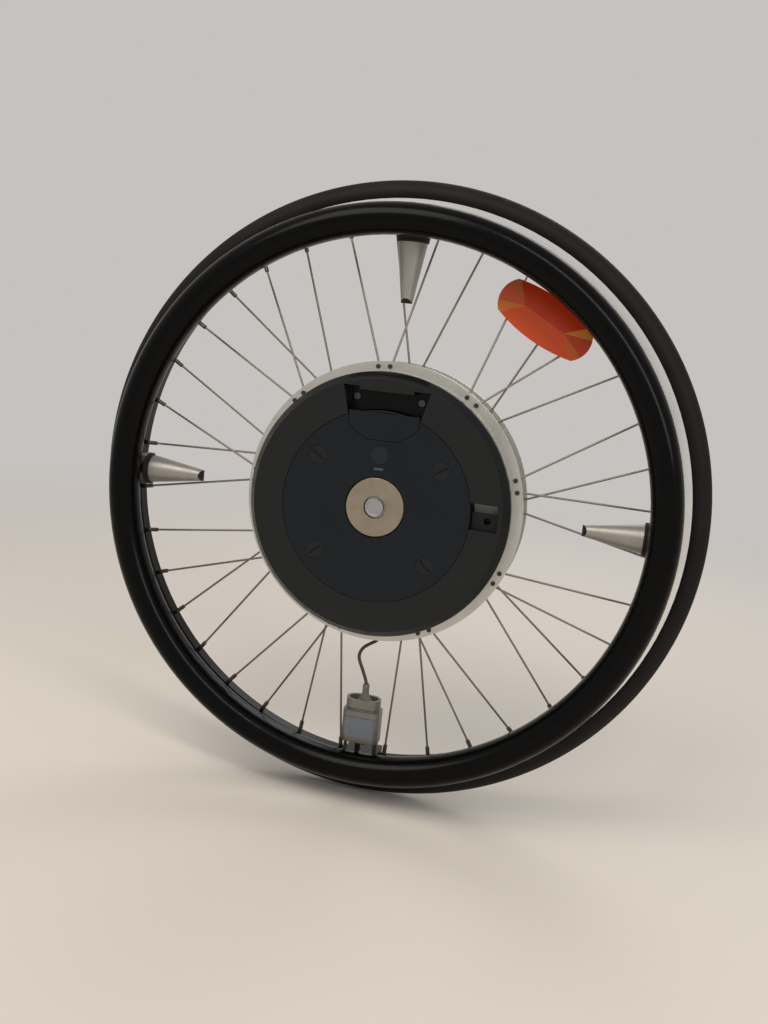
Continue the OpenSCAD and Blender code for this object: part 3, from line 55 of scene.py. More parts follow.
def linear(colour: str) -> tuple[float, float, float, float]:
    """Turns an sRGB hex colour to linear light.

    Args:
        colour: six hex digits after a hash.

    Returns:
        Red, green, blue and an alpha of one.
    """
    parts = [int(colour[i:i + 2], 16) / 255 for i in (1, 3, 5)]
    red, green, blue = (p / 12.92 if p <= 0.04045 else ((p + 0.055) / 1.055) ** 2.4 for p in parts)
    return red, green, blue, 1.0


def add_node(
    tree: bpy.types.NodeTree,
    kind: str,
    settings: dict[str, Any] | None = None,
    inputs: dict[str | int, Any] | None = None,
) -> bpy.types.Node:
    """Adds a node with its settings, values and links.

    Args:
        tree: node tree that gets the node.
        kind: Blender's name for the kind of node.
        settings: the node's own properties.
        inputs: a value for each named socket, or the socket that feeds it.

    Returns:
        The new node.
    """
    made = tree.nodes.new(kind)
    for key, value in (settings or {}).items():
        setattr(made, key, value)
    for key, value in (inputs or {}).items():
        if isinstance(value, bpy.types.NodeSocket):
            tree.links.new(value, made.inputs[key])
        else:
            made.inputs[key].default_value = value
    return made


def sums(tree: bpy.types.NodeTree, kind: str, *terms: Any) -> bpy.types.NodeSocket:
    """Adds one sum.

    Args:
        tree: the material's node tree.
        kind: Blender's name for the operation.
        terms: its values or sockets, in order.

    Returns:
        The result's socket.
    """
    return add_node(tree, "ShaderNodeMath", {"operation": kind}, dict(enumerate(terms))).outputs[0]


def pick(
    tree: bpy.types.NodeTree,
    share: bpy.types.NodeSocket,
    no: bpy.types.NodeSocket | str,
    yes: bpy.types.NodeSocket | str,
) -> bpy.types.NodeSocket:
    """Mixes two colours.

    Args:
        tree: the material's node tree.
        share: zero for the first colour, one for the second.
        no: the first colour, as a socket or in hex.
        yes: the second colour.

    Returns:
        The colour's socket.
    """
    first, second = (linear(c) if isinstance(c, str) else c for c in (no, yes))
    return add_node(tree, "ShaderNodeMix", {"data_type": "RGBA"}, {0: share, 6: first, 7: second}).outputs[2]


def off_axle(tree: bpy.types.NodeTree, place: bpy.types.NodeSocket) -> bpy.types.NodeSocket:
    """Measures the distance from the axle.

    Args:
        tree: the material's node tree.
        place: Object coordinates.

    Returns:
        The distance's socket.
    """
    flat = add_node(tree, "ShaderNodeVectorMath", {"operation": "MULTIPLY"}, {0: place, 1: (1, 0, 1)})
    return add_node(tree, "ShaderNodeVectorMath", {"operation": "LENGTH"}, {0: flat.outputs[0]}).outputs[1]


class Mark(Enum):
    """How the fine marks of a surface run."""

    GRAIN = "no direction, as moulded or cast"
    RINGS = "rings round the axle, as turned"
    LAYERS = "layers across the axle, as stacked"


@dataclass(frozen=True)
class Finish:
    """One real finish: two close colours in clouds, and fine marks that drive bump and roughness."""

    name: str
    colour: str
    shade: str
    roughness: float
    metallic: float = 0.0
    ior: float = 1.5
    coat: float = 0.0
    coat_roughness: float = 0.06
    mark: Mark = Mark.GRAIN
    mark_mm: float = 0.8
    mark_depth_mm: float = 0.02
    swing: float = 0.06
    cloud_mm: float = 25.0
    edge_mm: float = 0.0
    specular: float = 0.5

    def tint(self, tree: bpy.types.NodeTree, place: bpy.types.NodeSocket) -> bpy.types.NodeSocket:
        """Makes the colour: soft clouds between the two colours.

        Args:
            tree: the material's node tree.
            place: Object coordinates.

        Returns:
            The colour's socket.
        """
        cloud = add_node(tree, "ShaderNodeTexNoise", inputs={
            "Vector": place, "Scale": 1000 / self.cloud_mm, "Detail": 4.0, "Roughness": 0.6})
        share = add_node(tree, "ShaderNodeMapRange", inputs={"Value": cloud.outputs[0], 1: 0.3, 2: 0.7})
        return pick(tree, share.outputs[0], self.colour, self.shade)

    def marks(self, tree: bpy.types.NodeTree, place: bpy.types.NodeSocket) -> bpy.types.NodeSocket:
        """Makes the fine marks: noise in space, over the distance from the axle, or along the axle.

        Args:
            tree: the material's node tree.
            place: Object coordinates.

        Returns:
            A height from zero to one.
        """
        scale = 1000 / self.mark_mm
        if self.mark is Mark.GRAIN:
            return add_node(tree, "ShaderNodeTexNoise", inputs={
                "Vector": place, "Scale": scale, "Detail": 3.0, "Roughness": 0.55}).outputs[0]
        if self.mark is Mark.RINGS:
            line = off_axle(tree, place)
        else:
            line = add_node(tree, "ShaderNodeSeparateXYZ", inputs={0: place}).outputs[1]
        return add_node(tree, "ShaderNodeTexNoise", {"noise_dimensions": "1D"}, {
            "W": line, "Scale": scale, "Detail": 3.0, "Roughness": 0.6}).outputs[0]

    def material(self) -> bpy.types.Material:
        """Builds the material once, and gives the same one to every piece.

        Returns:
            The material.
        """
        made = bpy.data.materials.get(self.name)
        if made is not None:
            return made
        made = bpy.data.materials.new(self.name)
        made.use_nodes = True
        tree = made.node_tree
        shader = next(n for n in tree.nodes if n.type == "BSDF_PRINCIPLED")
        place = add_node(tree, "ShaderNodeTexCoord").outputs["Object"]
        height = self.marks(tree, place)
        rough = add_node(tree, "ShaderNodeMapRange", inputs={
            "Value": height, 1: 0.3, 2: 0.7,
            3: max(self.roughness - self.swing, 0.02), 4: min(self.roughness + self.swing, 1.0)})
        bump_in: dict[str | int, Any] = {"Height": height, "Strength": 1.0, "Distance": self.mark_depth_mm * MM}
        if self.edge_mm:
            bump_in["Normal"] = add_node(
                tree, "ShaderNodeBevel", {"samples": 4}, {"Radius": self.edge_mm * MM}).outputs[0]
        bump = add_node(tree, "ShaderNodeBump", inputs=bump_in)
        tree.links.new(self.tint(tree, place), shader.inputs["Base Color"])
        tree.links.new(rough.outputs[0], shader.inputs["Roughness"])
        tree.links.new(bump.outputs[0], shader.inputs["Normal"])
        shader.inputs["Metallic"].default_value = self.metallic
        if not self.metallic:
            shader.inputs["IOR"].default_value = self.ior
        shader.inputs["Specular IOR Level"].default_value = self.specular
        shader.inputs["Coat Weight"].default_value = self.coat
        shader.inputs["Coat Roughness"].default_value = self.coat_roughness
        return made


@dataclass(frozen=True)
class HeadedWire(Finish):
    """Drawn wire whose forged heads, out past a plane across the axle, carry painted shade: darker than the rest,
    for the shade of the flange's holes they sit in.
    """

    # painted shade: dark grey on the heads in the flange
    head_shade: str = "#4a4643"
    head_out_mm: float = 74.6

    def tint(self, tree: bpy.types.NodeTree, place: bpy.types.NodeSocket) -> bpy.types.NodeSocket:
        """Mixes the heads' painted shade in where the wire lies further out than the plane.

        Args:
            tree: the material's node tree.
            place: Object coordinates.

        Returns:
            The colour's socket.
        """
        along = add_node(tree, "ShaderNodeSeparateXYZ", inputs={0: place}).outputs[1]
        share = sums(tree, "LESS_THAN", along, -self.head_out_mm * MM)
        return pick(tree, share, super().tint(tree, place), self.head_shade)


@dataclass(frozen=True)
class ShadedBedRim(Finish):
    """Rim with machined side walls, and black painted shade on the bed nearer the axle than the shoulder, for the
    shade it lies in behind the push rim.
    """

    # painted shade: black on the bed inside the shoulder
    bed: str = "#0c0c0d"
    bed_r_mm: float = 263.9

    def tint(self, tree: bpy.types.NodeTree, place: bpy.types.NodeSocket) -> bpy.types.NodeSocket:
        """Mixes the bed's painted shade in where the distance from the axle is less than the shoulder's.

        Args:
            tree: the material's node tree.
            place: Object coordinates.

        Returns:
            The colour's socket.
        """
        share = sums(tree, "LESS_THAN", off_axle(tree, place), self.bed_r_mm * MM)
        return pick(tree, share, super().tint(tree, place), self.bed)


@dataclass(frozen=True)
class RecessedCover(Finish):
    """Cover moulding with a finger recess and a charging pocket; near-black painted shade fills the recess and a
    pale grey painted reflection lies on the pocket's slope.
    """

    # painted shade: near-black for the shade inside the finger recess
    recess: str = "#030303"
    # painted reflection: pale grey on the pocket's slope for the surroundings it mirrors
    slope: str = "#636464"
    recess_mm: tuple[float, float, float, float] = (-36.0, 36.0, 60.0, 120.0)
    slope_mm: tuple[float, float, float, float] = (89.6, 110.9, 7.7, 16.9)
    recess_out_mm: float = 98.6
    slope_out_mm: float = 101.3

    def zone(
        self,
        tree: bpy.types.NodeTree,
        place: bpy.types.NodeSocket,
        box_mm: tuple[float, float, float, float],
        out_mm: float,
    ) -> bpy.types.NodeSocket:
        """Finds what lies behind a plane across the axle and inside a rectangle on it.

        Args:
            tree: the material's node tree.
            place: Object coordinates.
            box_mm: the rectangle's left, right, bottom and top.
            out_mm: the plane's distance out.

        Returns:
            One inside the zone.
        """
        left, right, low, high = (c * MM for c in box_mm)
        axes = add_node(tree, "ShaderNodeSeparateXYZ", inputs={0: place})
        share = sums(tree, "GREATER_THAN", axes.outputs[1], -out_mm * MM)
        for axis, operation, limit in ((0, "GREATER_THAN", left), (0, "LESS_THAN", right),
                                       (2, "GREATER_THAN", low), (2, "LESS_THAN", high)):
            share = sums(tree, "MULTIPLY", share, sums(tree, operation, axes.outputs[axis], limit))
        return share

    def tint(self, tree: bpy.types.NodeTree, place: bpy.types.NodeSocket) -> bpy.types.NodeSocket:
        """Mixes the recess's painted shade and the slope's painted reflection into the cover's colour.

        Args:
            tree: the material's node tree.
            place: Object coordinates.

        Returns:
            The colour's socket.
        """
        colour = super().tint(tree, place)
        for box_mm, out_mm, other in ((self.recess_mm, self.recess_out_mm, self.recess),
                                      (self.slope_mm, self.slope_out_mm, self.slope)):
            colour = pick(tree, self.zone(tree, place, box_mm, out_mm), colour, other)
        return colour


@dataclass(frozen=True)
class TippedPaint(Finish):
    """Paint on the tapered housings, whose slanted tips carry painted shade: a dark colour for the shade at each
    tip's end.
    """

    # painted shade: dark colour on each slanted tip
    tip: str = "#3c3935"
    tip_r_mm: float = 184.5
    slope: float = 0.755
    back_out_mm: float = 62.0

    def tint(self, tree: bpy.types.NodeTree, place: bpy.types.NodeSocket) -> bpy.types.NodeSocket:
        """Mixes the tips' painted shade in on the axle's side of a plane that leans as the tip does.

        Args:
            tree: the material's node tree.
            place: Object coordinates.

        Returns:
            The colour's socket.
        """
        along = add_node(tree, "ShaderNodeSeparateXYZ", inputs={0: place}).outputs[1]
        lean = sums(tree, "MULTIPLY_ADD", along, self.slope, off_axle(tree, place))
        limit = (self.tip_r_mm - self.slope * self.back_out_mm) * MM
        return pick(tree, sums(tree, "LESS_THAN", lean, limit), super().tint(tree, place), self.tip)


@dataclass(frozen=True)
class SensorPaint(Finish):
    """Paint on the sensor housing: painted shade inside the collar's opening, darker below the window, black at
    the rim.
    """

    # painted shade: dark brown inside the collar's opening
    mouth_shade: str = "#3a342d"
    foot: str = "#585751"
    base: str = "#151414"
    mouth_mm: tuple[float, float, float] = (3.4, 72.0, 200.6)
    mouth_half_mm: tuple[float, float] = (14.3, 7.6)
    foot_mm: tuple[float, float] = (225.0, 231.0)
    base_mm: float = 249.6

    def tint(self, tree: bpy.types.NodeTree, place: bpy.types.NodeSocket) -> bpy.types.NodeSocket:
        """Mixes in the foot's and base's colours by height, then the painted shade inside an ellipse across the
        collar.

        Args:
            tree: the material's node tree.
            place: Object coordinates.

        Returns:
            The colour's socket.
        """
        x, out, far = (c * MM for c in self.mouth_mm)
        wide, deep = (c * MM for c in self.mouth_half_mm)
        axes = add_node(tree, "ShaderNodeSeparateXYZ", inputs={0: place})
        low = add_node(tree, "ShaderNodeMapRange", inputs={
            "Value": axes.outputs[2], 1: -self.foot_mm[0] * MM, 2: -self.foot_mm[1] * MM})
        upper = pick(tree, low.outputs[0], super().tint(tree, place), self.foot)
        body = pick(tree, sums(tree, "LESS_THAN", axes.outputs[2], -self.base_mm * MM), upper, self.base)
        moved = add_node(tree, "ShaderNodeMapping", {"vector_type": "TEXTURE"}, {
            0: place, 1: (x, -out, 0.0), 3: (wide, deep, 1.0)})
        flat = add_node(tree, "ShaderNodeVectorMath", {"operation": "MULTIPLY"}, {
            0: moved.outputs[0], 1: (1, 1, 0)})
        away = add_node(tree, "ShaderNodeVectorMath", {"operation": "LENGTH"}, {0: flat.outputs[0]})
        within = sums(tree, "LESS_THAN", away.outputs[1], 1.0)
        above = sums(tree, "GREATER_THAN", axes.outputs[2], -far)
        return pick(tree, sums(tree, "MULTIPLY", within, above), body, self.mouth_shade)


@dataclass(frozen=True)
class PrismLens(Finish):
    """Moulded reflector: prisms under a clear face, a dark and a bright slope in painted shade and painted light,
    and three fields at each end painted with light seen through the plastic.
    """

    # painted light: the lower slope's brighter red and the end fields' ambers and yellows stand for light falling
    # on and through the facets
    lower: str = "#c0471b"
    end_middle: tuple[str, str] = ("#b84320", "#b0390d")
    end_upper: tuple[str, str] = ("#a8501a", "#bf751d")
    end_lower: tuple[str, str] = ("#b8651d", "#b9561b")
    centre_mm: tuple[float, float] = (125.87, 181.78)
    turn_deg: float = -29.0
    half_mm: tuple[float, float] = (47.0, 21.5)
    hip_mm: float = 26.0
    rise_mm: tuple[float, float] = (4.0, 5.0)
    fan: float = 0.36

    def local(self, tree: bpy.types.NodeTree, place: bpy.types.NodeSocket) -> bpy.types.NodeSocket:
        """Turns Object coordinates so that x runs along the lens and z across it, from its middle.

        Args:
            tree: the material's node tree.
            place: Object coordinates.

        Returns:
            The turned coordinates.
        """
        x, z = (c * MM for c in self.centre_mm)
        moved = add_node(tree, "ShaderNodeMapping", {"vector_type": "POINT"}, {0: place, 1: (-x, 0.0, -z)})
        return add_node(tree, "ShaderNodeMapping", {"vector_type": "POINT"}, {
            0: moved.outputs[0], 2: (0.0, math.radians(self.turn_deg), 0.0)}).outputs[0]

    def tint(self, tree: bpy.types.NodeTree, place: bpy.types.NodeSocket) -> bpy.types.NodeSocket:
        """Colours the two slopes, the lower one brighter as painted light, and the end fields, painted with light
        seen through the plastic, where the hip lies lower than the slopes.

        With u along and v across, the hip is where (half length - |u|) rise / hip - rise + ridge |v| / half width
        is below zero, and its outer fields are where |v| is more than a share of |u| past the ridge's end.

        Args:
            tree: the material's node tree.
            place: Object coordinates.

        Returns:
            The colour's socket.
        """
        axes = add_node(tree, "ShaderNodeSeparateXYZ", inputs={0: self.local(tree, place)})
        along, across = axes.outputs[0], axes.outputs[2]
        far, wide = sums(tree, "ABSOLUTE", along), sums(tree, "ABSOLUTE", across)
        length = self.half_mm[0] * MM
        ridge, rise = self.rise_mm
        fall = rise / self.hip_mm
        slope = sums(tree, "MULTIPLY_ADD", wide, ridge / self.half_mm[1], length * fall - rise * MM)
        hip = sums(tree, "LESS_THAN", sums(tree, "MULTIPLY_ADD", far, -fall, slope), 0.0)
        past = sums(tree, "MULTIPLY", sums(tree, "SUBTRACT", far, length - self.hip_mm * MM), self.fan)
        outer = sums(tree, "GREATER_THAN", wide, past)
        right, down = sums(tree, "GREATER_THAN", along, 0.0), sums(tree, "LESS_THAN", across, 0.0)
        upper, lower, middle = (
            pick(tree, right, *pair) for pair in (self.end_upper, self.end_lower, self.end_middle))
        ends = pick(tree, outer, middle, pick(tree, down, upper, lower))
        body = pick(tree, down, super().tint(tree, place), self.lower)
        return pick(tree, hip, body, ends)

    def marks(self, tree: bpy.types.NodeTree, place: bpy.types.NodeSocket) -> bpy.types.NodeSocket:
        """Makes the prisms: the distance to a square lattice of points.

        Args:
            tree: the material's node tree.
            place: Object coordinates.

        Returns:
            A height from zero to about one.
        """
        cells = add_node(tree, "ShaderNodeTexVoronoi", {"distance": "CHEBYCHEV", "voronoi_dimensions": "3D"}, {
            "Vector": self.local(tree, place), "Scale": 1000 / self.mark_mm, "Randomness": 0.0})
        return cells.outputs[0]


# Butyl tyre, moulded and used: deep grey, dull, with a brown cast of dust in soft patches.
TYRE_RUBBER = Finish("tyre_rubber_moulded", "#110f0f", "#1a1614", 0.58, ior=1.52, mark_mm=1.4,
                     mark_depth_mm=0.05, swing=0.08, cloud_mm=40.0, specular=0.16)
# Coated aluminium tube: deep black under a clear gloss with a faint orange peel.
GLOSS_BLACK = Finish("aluminium_gloss_black_coat", "#030303", "#040404", 0.2, mark_mm=3.0, mark_depth_mm=0.008,
                     swing=0.04, cloud_mm=60.0, specular=0.11)
# Extruded rim, polished: bright, with faint turning lines round the wheel, and black painted shade on its bed.
POLISHED_ALUMINIUM = ShadedBedRim("aluminium_polished_painted_shade_bed", "#f4f4f3", "#e9e8e6", 0.26, metallic=1.0,
                               mark=Mark.RINGS, mark_mm=0.5, mark_depth_mm=0.003, swing=0.05, cloud_mm=50.0)
# Turned drum with its two flanges: satin, slightly warm, with turning rings.
TURNED_ALUMINIUM = Finish("aluminium_turned_satin", "#cfcfc8", "#c0c0b9", 0.38, metallic=1.0, mark=Mark.RINGS,
                          mark_mm=0.5, mark_depth_mm=0.0015, swing=0.04, cloud_mm=30.0)
# Satin button: pale grey turned aluminium with fine rings.
BUTTON_ALUMINIUM = Finish("aluminium_turned_fine", "#b4b4b4", "#a4a4a5", 0.36, metallic=1.0, mark=Mark.RINGS,
                          mark_mm=0.4, mark_depth_mm=0.006, swing=0.06, cloud_mm=12.0, edge_mm=0.4)
# Anodised disc: pale champagne, satin, spun in rings.
CHAMPAGNE = Finish("aluminium_champagne_anodised", "#a59b89", "#988e7d", 0.38, metallic=1.0, mark=Mark.RINGS,
                   mark_mm=0.4, mark_depth_mm=0.005, swing=0.07, cloud_mm=14.0, edge_mm=0.4)
# Silver paint on the die-cast housings: satin, even, with a very fine flake; dark painted shade on the slanted
# tips.
SILVER_PAINT = TippedPaint("die_casting_silver_paint", "#a3a09a", "#96938d", 0.44, metallic=0.7, mark_mm=0.6,
                           mark_depth_mm=0.008, swing=0.06, cloud_mm=18.0, edge_mm=0.6)
# The sensor housing's paint is greyer, and lies over a rougher casting; painted shade inside its collar.
SENSOR_GREY = SensorPaint("die_casting_grey_paint", "#7b7972", "#716f69", 0.42, metallic=0.5, mark_mm=0.7,
                          mark_depth_mm=0.012, swing=0.07, cloud_mm=12.0, edge_mm=0.6)
# Raw casting: dull pale grey with a rough skin.
CAST_ALUMINIUM = Finish("aluminium_as_cast", "#a6a7a8", "#8f9092", 0.5, metallic=1.0, mark_mm=1.2,
                        mark_depth_mm=0.04, swing=0.1, cloud_mm=15.0)
# Powder coat on the rear casting: satin black with a pebbled skin.
POWDER_BLACK = Finish("aluminium_black_powder_coat", "#1f2021", "#2a2b2c", 0.45, mark_mm=1.0,
                      mark_depth_mm=0.03, swing=0.07, cloud_mm=30.0, edge_mm=0.5)
# Dark coat on the small arms behind the push rim.
DARK_COAT = Finish("aluminium_dark_coat", "#26221f", "#322d29", 0.42, mark_mm=1.0, mark_depth_mm=0.02,
                   cloud_mm=15.0, edge_mm=0.4)
# Spark-eroded grain on the moulded cover: charcoal, satin, edges catch a thin light; painted shade in its recess,
# a painted reflection on its pocket's slope.
CHARCOAL_PLASTIC = RecessedCover("polyamide_charcoal_moulded", "#1f2020", "#1b1d1e", 0.32, ior=1.53, mark_mm=0.7,
                                 mark_depth_mm=0.012, swing=0.07, cloud_mm=45.0, edge_mm=0.6, specular=0.16)
# The lid is the same moulding grade, a little bluer and darker.
LID_PLASTIC = Finish("polyamide_blue_black_moulded", "#171b20", "#14181d", 0.32, ior=1.53, mark_mm=0.7,
                     mark_depth_mm=0.012, swing=0.07, cloud_mm=40.0, edge_mm=0.3, specular=0.16)
# Plain black moulding inside the hub and in the recess.
BLACK_PLASTIC = Finish("polyamide_black_moulded", "#161718", "#1e1f20", 0.48, ior=1.53, mark_mm=0.8,
                       mark_depth_mm=0.02, cloud_mm=20.0, edge_mm=0.3)
# Lock heads: grey-black moulding, worn smoother on top.
LOCK_PLASTIC = Finish("acetal_lock_moulded", "#1b1f20", "#202322", 0.36, ior=1.48, mark_mm=0.9,
                      mark_depth_mm=0.012, swing=0.08, cloud_mm=6.0, edge_mm=0.2, specular=0.16)
# Cable gland: brown-grey nylon.
GLAND_NYLON = Finish("nylon_gland_moulded", "#6f675c", "#5e574e", 0.45, mark_mm=0.7, mark_depth_mm=0.015,
                     cloud_mm=6.0, edge_mm=0.3)
# Silicone of the power button: soft, dull.
BUTTON_SILICONE = Finish("silicone_button_moulded", "#23282e", "#1f2429", 0.6, ior=1.43, mark_mm=0.9,
                         mark_depth_mm=0.012, cloud_mm=8.0, edge_mm=0.4, specular=0.16)
# Rubber of seals and boots: matt black.
SEAL_RUBBER = Finish("rubber_seal_moulded", "#221d1a", "#1b1816", 0.62, ior=1.52, mark_mm=0.8,
                     mark_depth_mm=0.02, cloud_mm=8.0, specular=0.25)
# Cable jacket: matt dark brown, with faint stretch marks.
CABLE_JACKET = Finish("pvc_cable_jacket_extruded", "#2f2823", "#3b332c", 0.5, ior=1.54, mark_mm=1.0,
                      mark_depth_mm=0.015, cloud_mm=5.0)
# Ground steel of axle and studs: bright grey with fine lines.
GROUND_STEEL = Finish("steel_ground", "#a6a7a7", "#949596", 0.27, metallic=1.0, mark=Mark.LAYERS, mark_mm=0.4,
                      mark_depth_mm=0.004, swing=0.06, cloud_mm=12.0, edge_mm=0.3)
# Turned steel of the spindle and torque plate: grey, coarser rings.
TURNED_STEEL = Finish("steel_turned", "#858789", "#75777a", 0.38, metallic=1.0, mark=Mark.RINGS, mark_mm=0.6,
                      mark_depth_mm=0.008, swing=0.08, cloud_mm=18.0, edge_mm=0.4)
# Lapped bearing steel: almost a mirror.
BEARING_STEEL = Finish("steel_bearing_lapped", "#c2c3c4", "#b4b5b6", 0.12, metallic=1.0, mark_mm=0.8,
                       mark_depth_mm=0.002, swing=0.03, cloud_mm=10.0)
# Stacked electrical sheet: dark grey layers.
SHEET_STACK = Finish("steel_laminations_stacked", "#55585c", "#484b4f", 0.45, metallic=1.0, mark=Mark.LAYERS,
                     mark_mm=0.5, mark_depth_mm=0.03, swing=0.1, cloud_mm=12.0)
# Spring steel, drawn and blued a little.
SPRING_STEEL = Finish("steel_spring_drawn", "#8b8d90", "#7b7d82", 0.3, metallic=1.0, mark_mm=0.6,
                      mark_depth_mm=0.005, cloud_mm=6.0)
# Zinc-plated screws: bright with a faint yellow-blue cast.
ZINC_SCREW = Finish("steel_zinc_plated", "#8d8f90", "#9a978c", 0.32, metallic=1.0, mark_mm=0.5,
                    mark_depth_mm=0.008, cloud_mm=3.0, edge_mm=0.3)
# Black-oxide screws.
BLACK_SCREW = Finish("steel_black_oxide", "#2f3133", "#3c3e40", 0.38, metallic=1.0, mark_mm=0.5,
                     mark_depth_mm=0.008, cloud_mm=3.0, edge_mm=0.3)
# Cover screws: dulled zinc, half dark.
COVER_SCREW = Finish("steel_zinc_dulled", "#63676b", "#4a4743", 0.36, metallic=1.0, mark_mm=0.5,
                     mark_depth_mm=0.008, cloud_mm=20.0, edge_mm=0.3)
# Drawn stainless spokes with forged heads: bright shafts, and painted shade darkening the heads in the flange's
# holes.
SPOKE_WIRE = HeadedWire("stainless_spoke_drawn", "#8f8a83", "#837f78", 0.5, metallic=1.0, mark_mm=0.6,
                        mark_depth_mm=0.001, swing=0.03, cloud_mm=60.0)
# Nipples: darkened brass, dull.
NIPPLE_BRASS = Finish("brass_blackened", "#6d665f", "#5b554f", 0.45, metallic=1.0, mark_mm=0.6,
                      mark_depth_mm=0.004, cloud_mm=5.0)
# Nickel plate on nipples, links and magnets.
NICKEL_PLATE = Finish("nickel_plated", "#b3b0a8", "#a19e95", 0.24, metallic=1.0, mark_mm=0.6,
                      mark_depth_mm=0.005, cloud_mm=6.0, edge_mm=0.2)
# Gold-flashed contacts.
CONTACT_GOLD = Finish("brass_gold_flashed", "#cfa64c", "#bb9440", 0.25, metallic=1.0, mark_mm=0.5,
                      mark_depth_mm=0.004, cloud_mm=3.0)
# Enamelled copper: warm orange brown with wound strands.
COPPER_WIRE = Finish("copper_enamelled_wound", "#9c5a2c", "#834520", 0.33, metallic=0.85, mark=Mark.LAYERS,
                     mark_mm=1.0, mark_depth_mm=0.12, swing=0.08, cloud_mm=6.0)
# Solder mask over a board: green, smooth, slightly patchy.
SOLDER_MASK = Finish("glass_epoxy_solder_mask", "#1f5a35", "#184a2b", 0.3, mark_mm=1.2, mark_depth_mm=0.01,
                     cloud_mm=5.0, coat=0.3)
# Shrink wrap on cells: blue, glossy, a little wrinkled.
SHRINK_WRAP = Finish("pvc_shrink_wrap", "#3a6a9c", "#325d8b", 0.3, mark_mm=4.0, mark_depth_mm=0.05,
                     cloud_mm=12.0, coat=0.3)
# Reflector: moulded acrylic, red amber, with prisms under a glossy face; painted light and shade on its slopes and
# ends.
AMBER_LENS = PrismLens("acrylic_amber_prisms", "#bb370e", "#b0300b", 0.34, ior=1.49, coat=0.1,
                       coat_roughness=0.15, mark_mm=2.6, mark_depth_mm=0.1, swing=0.04, cloud_mm=20.0,
                       specular=0.3)
# Reflector's back and clips: opaque orange moulding.
AMBER_BACK = Finish("abs_amber_moulded", "#b8611c", "#a35416", 0.4, mark_mm=0.8, mark_depth_mm=0.015,
                    cloud_mm=10.0, edge_mm=0.3)
# Sensor window: smoked glossy plate, blue grey.
SENSOR_GLAZE = Finish("acrylic_smoked_plate", "#5d676f", "#525c65", 0.2, ior=1.49, coat=0.6,
                      coat_roughness=0.08, mark_mm=4.0, mark_depth_mm=0.006, swing=0.04, cloud_mm=12.0)
# Light window: milky pale diffuser.
LIGHT_WINDOW = Finish("polycarbonate_diffuser", "#3d4448", "#343a3e", 0.35, ior=1.58, mark_mm=0.8,
                      mark_depth_mm=0.01, cloud_mm=3.0)


def dress(coats: dict[str, Finish]) -> None:
    """Gives each named solid its finish and reports it.

    Args:
        coats: a finish for each node's name.
    """
    for name, finish in coats.items():
        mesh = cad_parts[name].data
        mesh.materials.clear()
        mesh.materials.append(finish.material())
        LOG.info("dressed %s in %s", name, finish.name)


def surface(name: str, points: np.ndarray, body: str, finish: Finish) -> bpy.types.Object:
    """Makes a closed smooth piece from a grid of points that joins up both ways.

    Face (i, j) has corners (i, j), (i + 1, j), (i + 1, j + 1), (i, j + 1), with both indices taken round.

    Args:
        name: the piece's name.
        points: rows by columns by three, in metres.
        body: the body it rides on.
        finish: its finish.

    Returns:
        The new object.
    """
    rows, columns = points.shape[:2]
    index = np.arange(rows * columns).reshape(rows, columns)
    down, right = np.roll(index, -1, axis=0), np.roll(index, -1, axis=1)
    across = np.roll(down, -1, axis=1)
    corners = np.stack([index, down, across, right], axis=-1).reshape(-1, 4)
    mesh = bpy.data.meshes.new(name)
    mesh.vertices.add(rows * columns)
    mesh.vertices.foreach_set("co", points.reshape(-1).astype(np.float32))
    mesh.loops.add(corners.size)
    mesh.loops.foreach_set("vertex_index", corners.reshape(-1).astype(np.int32))
    mesh.polygons.add(len(corners))
    mesh.polygons.foreach_set("loop_start", np.arange(0, corners.size, 4, dtype=np.int32))
    mesh.polygons.foreach_set("use_smooth", np.ones(len(corners), dtype=bool))
    mesh.update(calc_edges=True)
    mesh.validate()
    mesh.materials.append(finish.material())
    piece = bpy.data.objects.new(name, mesh)
    bpy.context.scene.collection.objects.link(piece)
    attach(piece, body)
    LOG.info("made %s, %d faces", name, len(corners))
    return piece


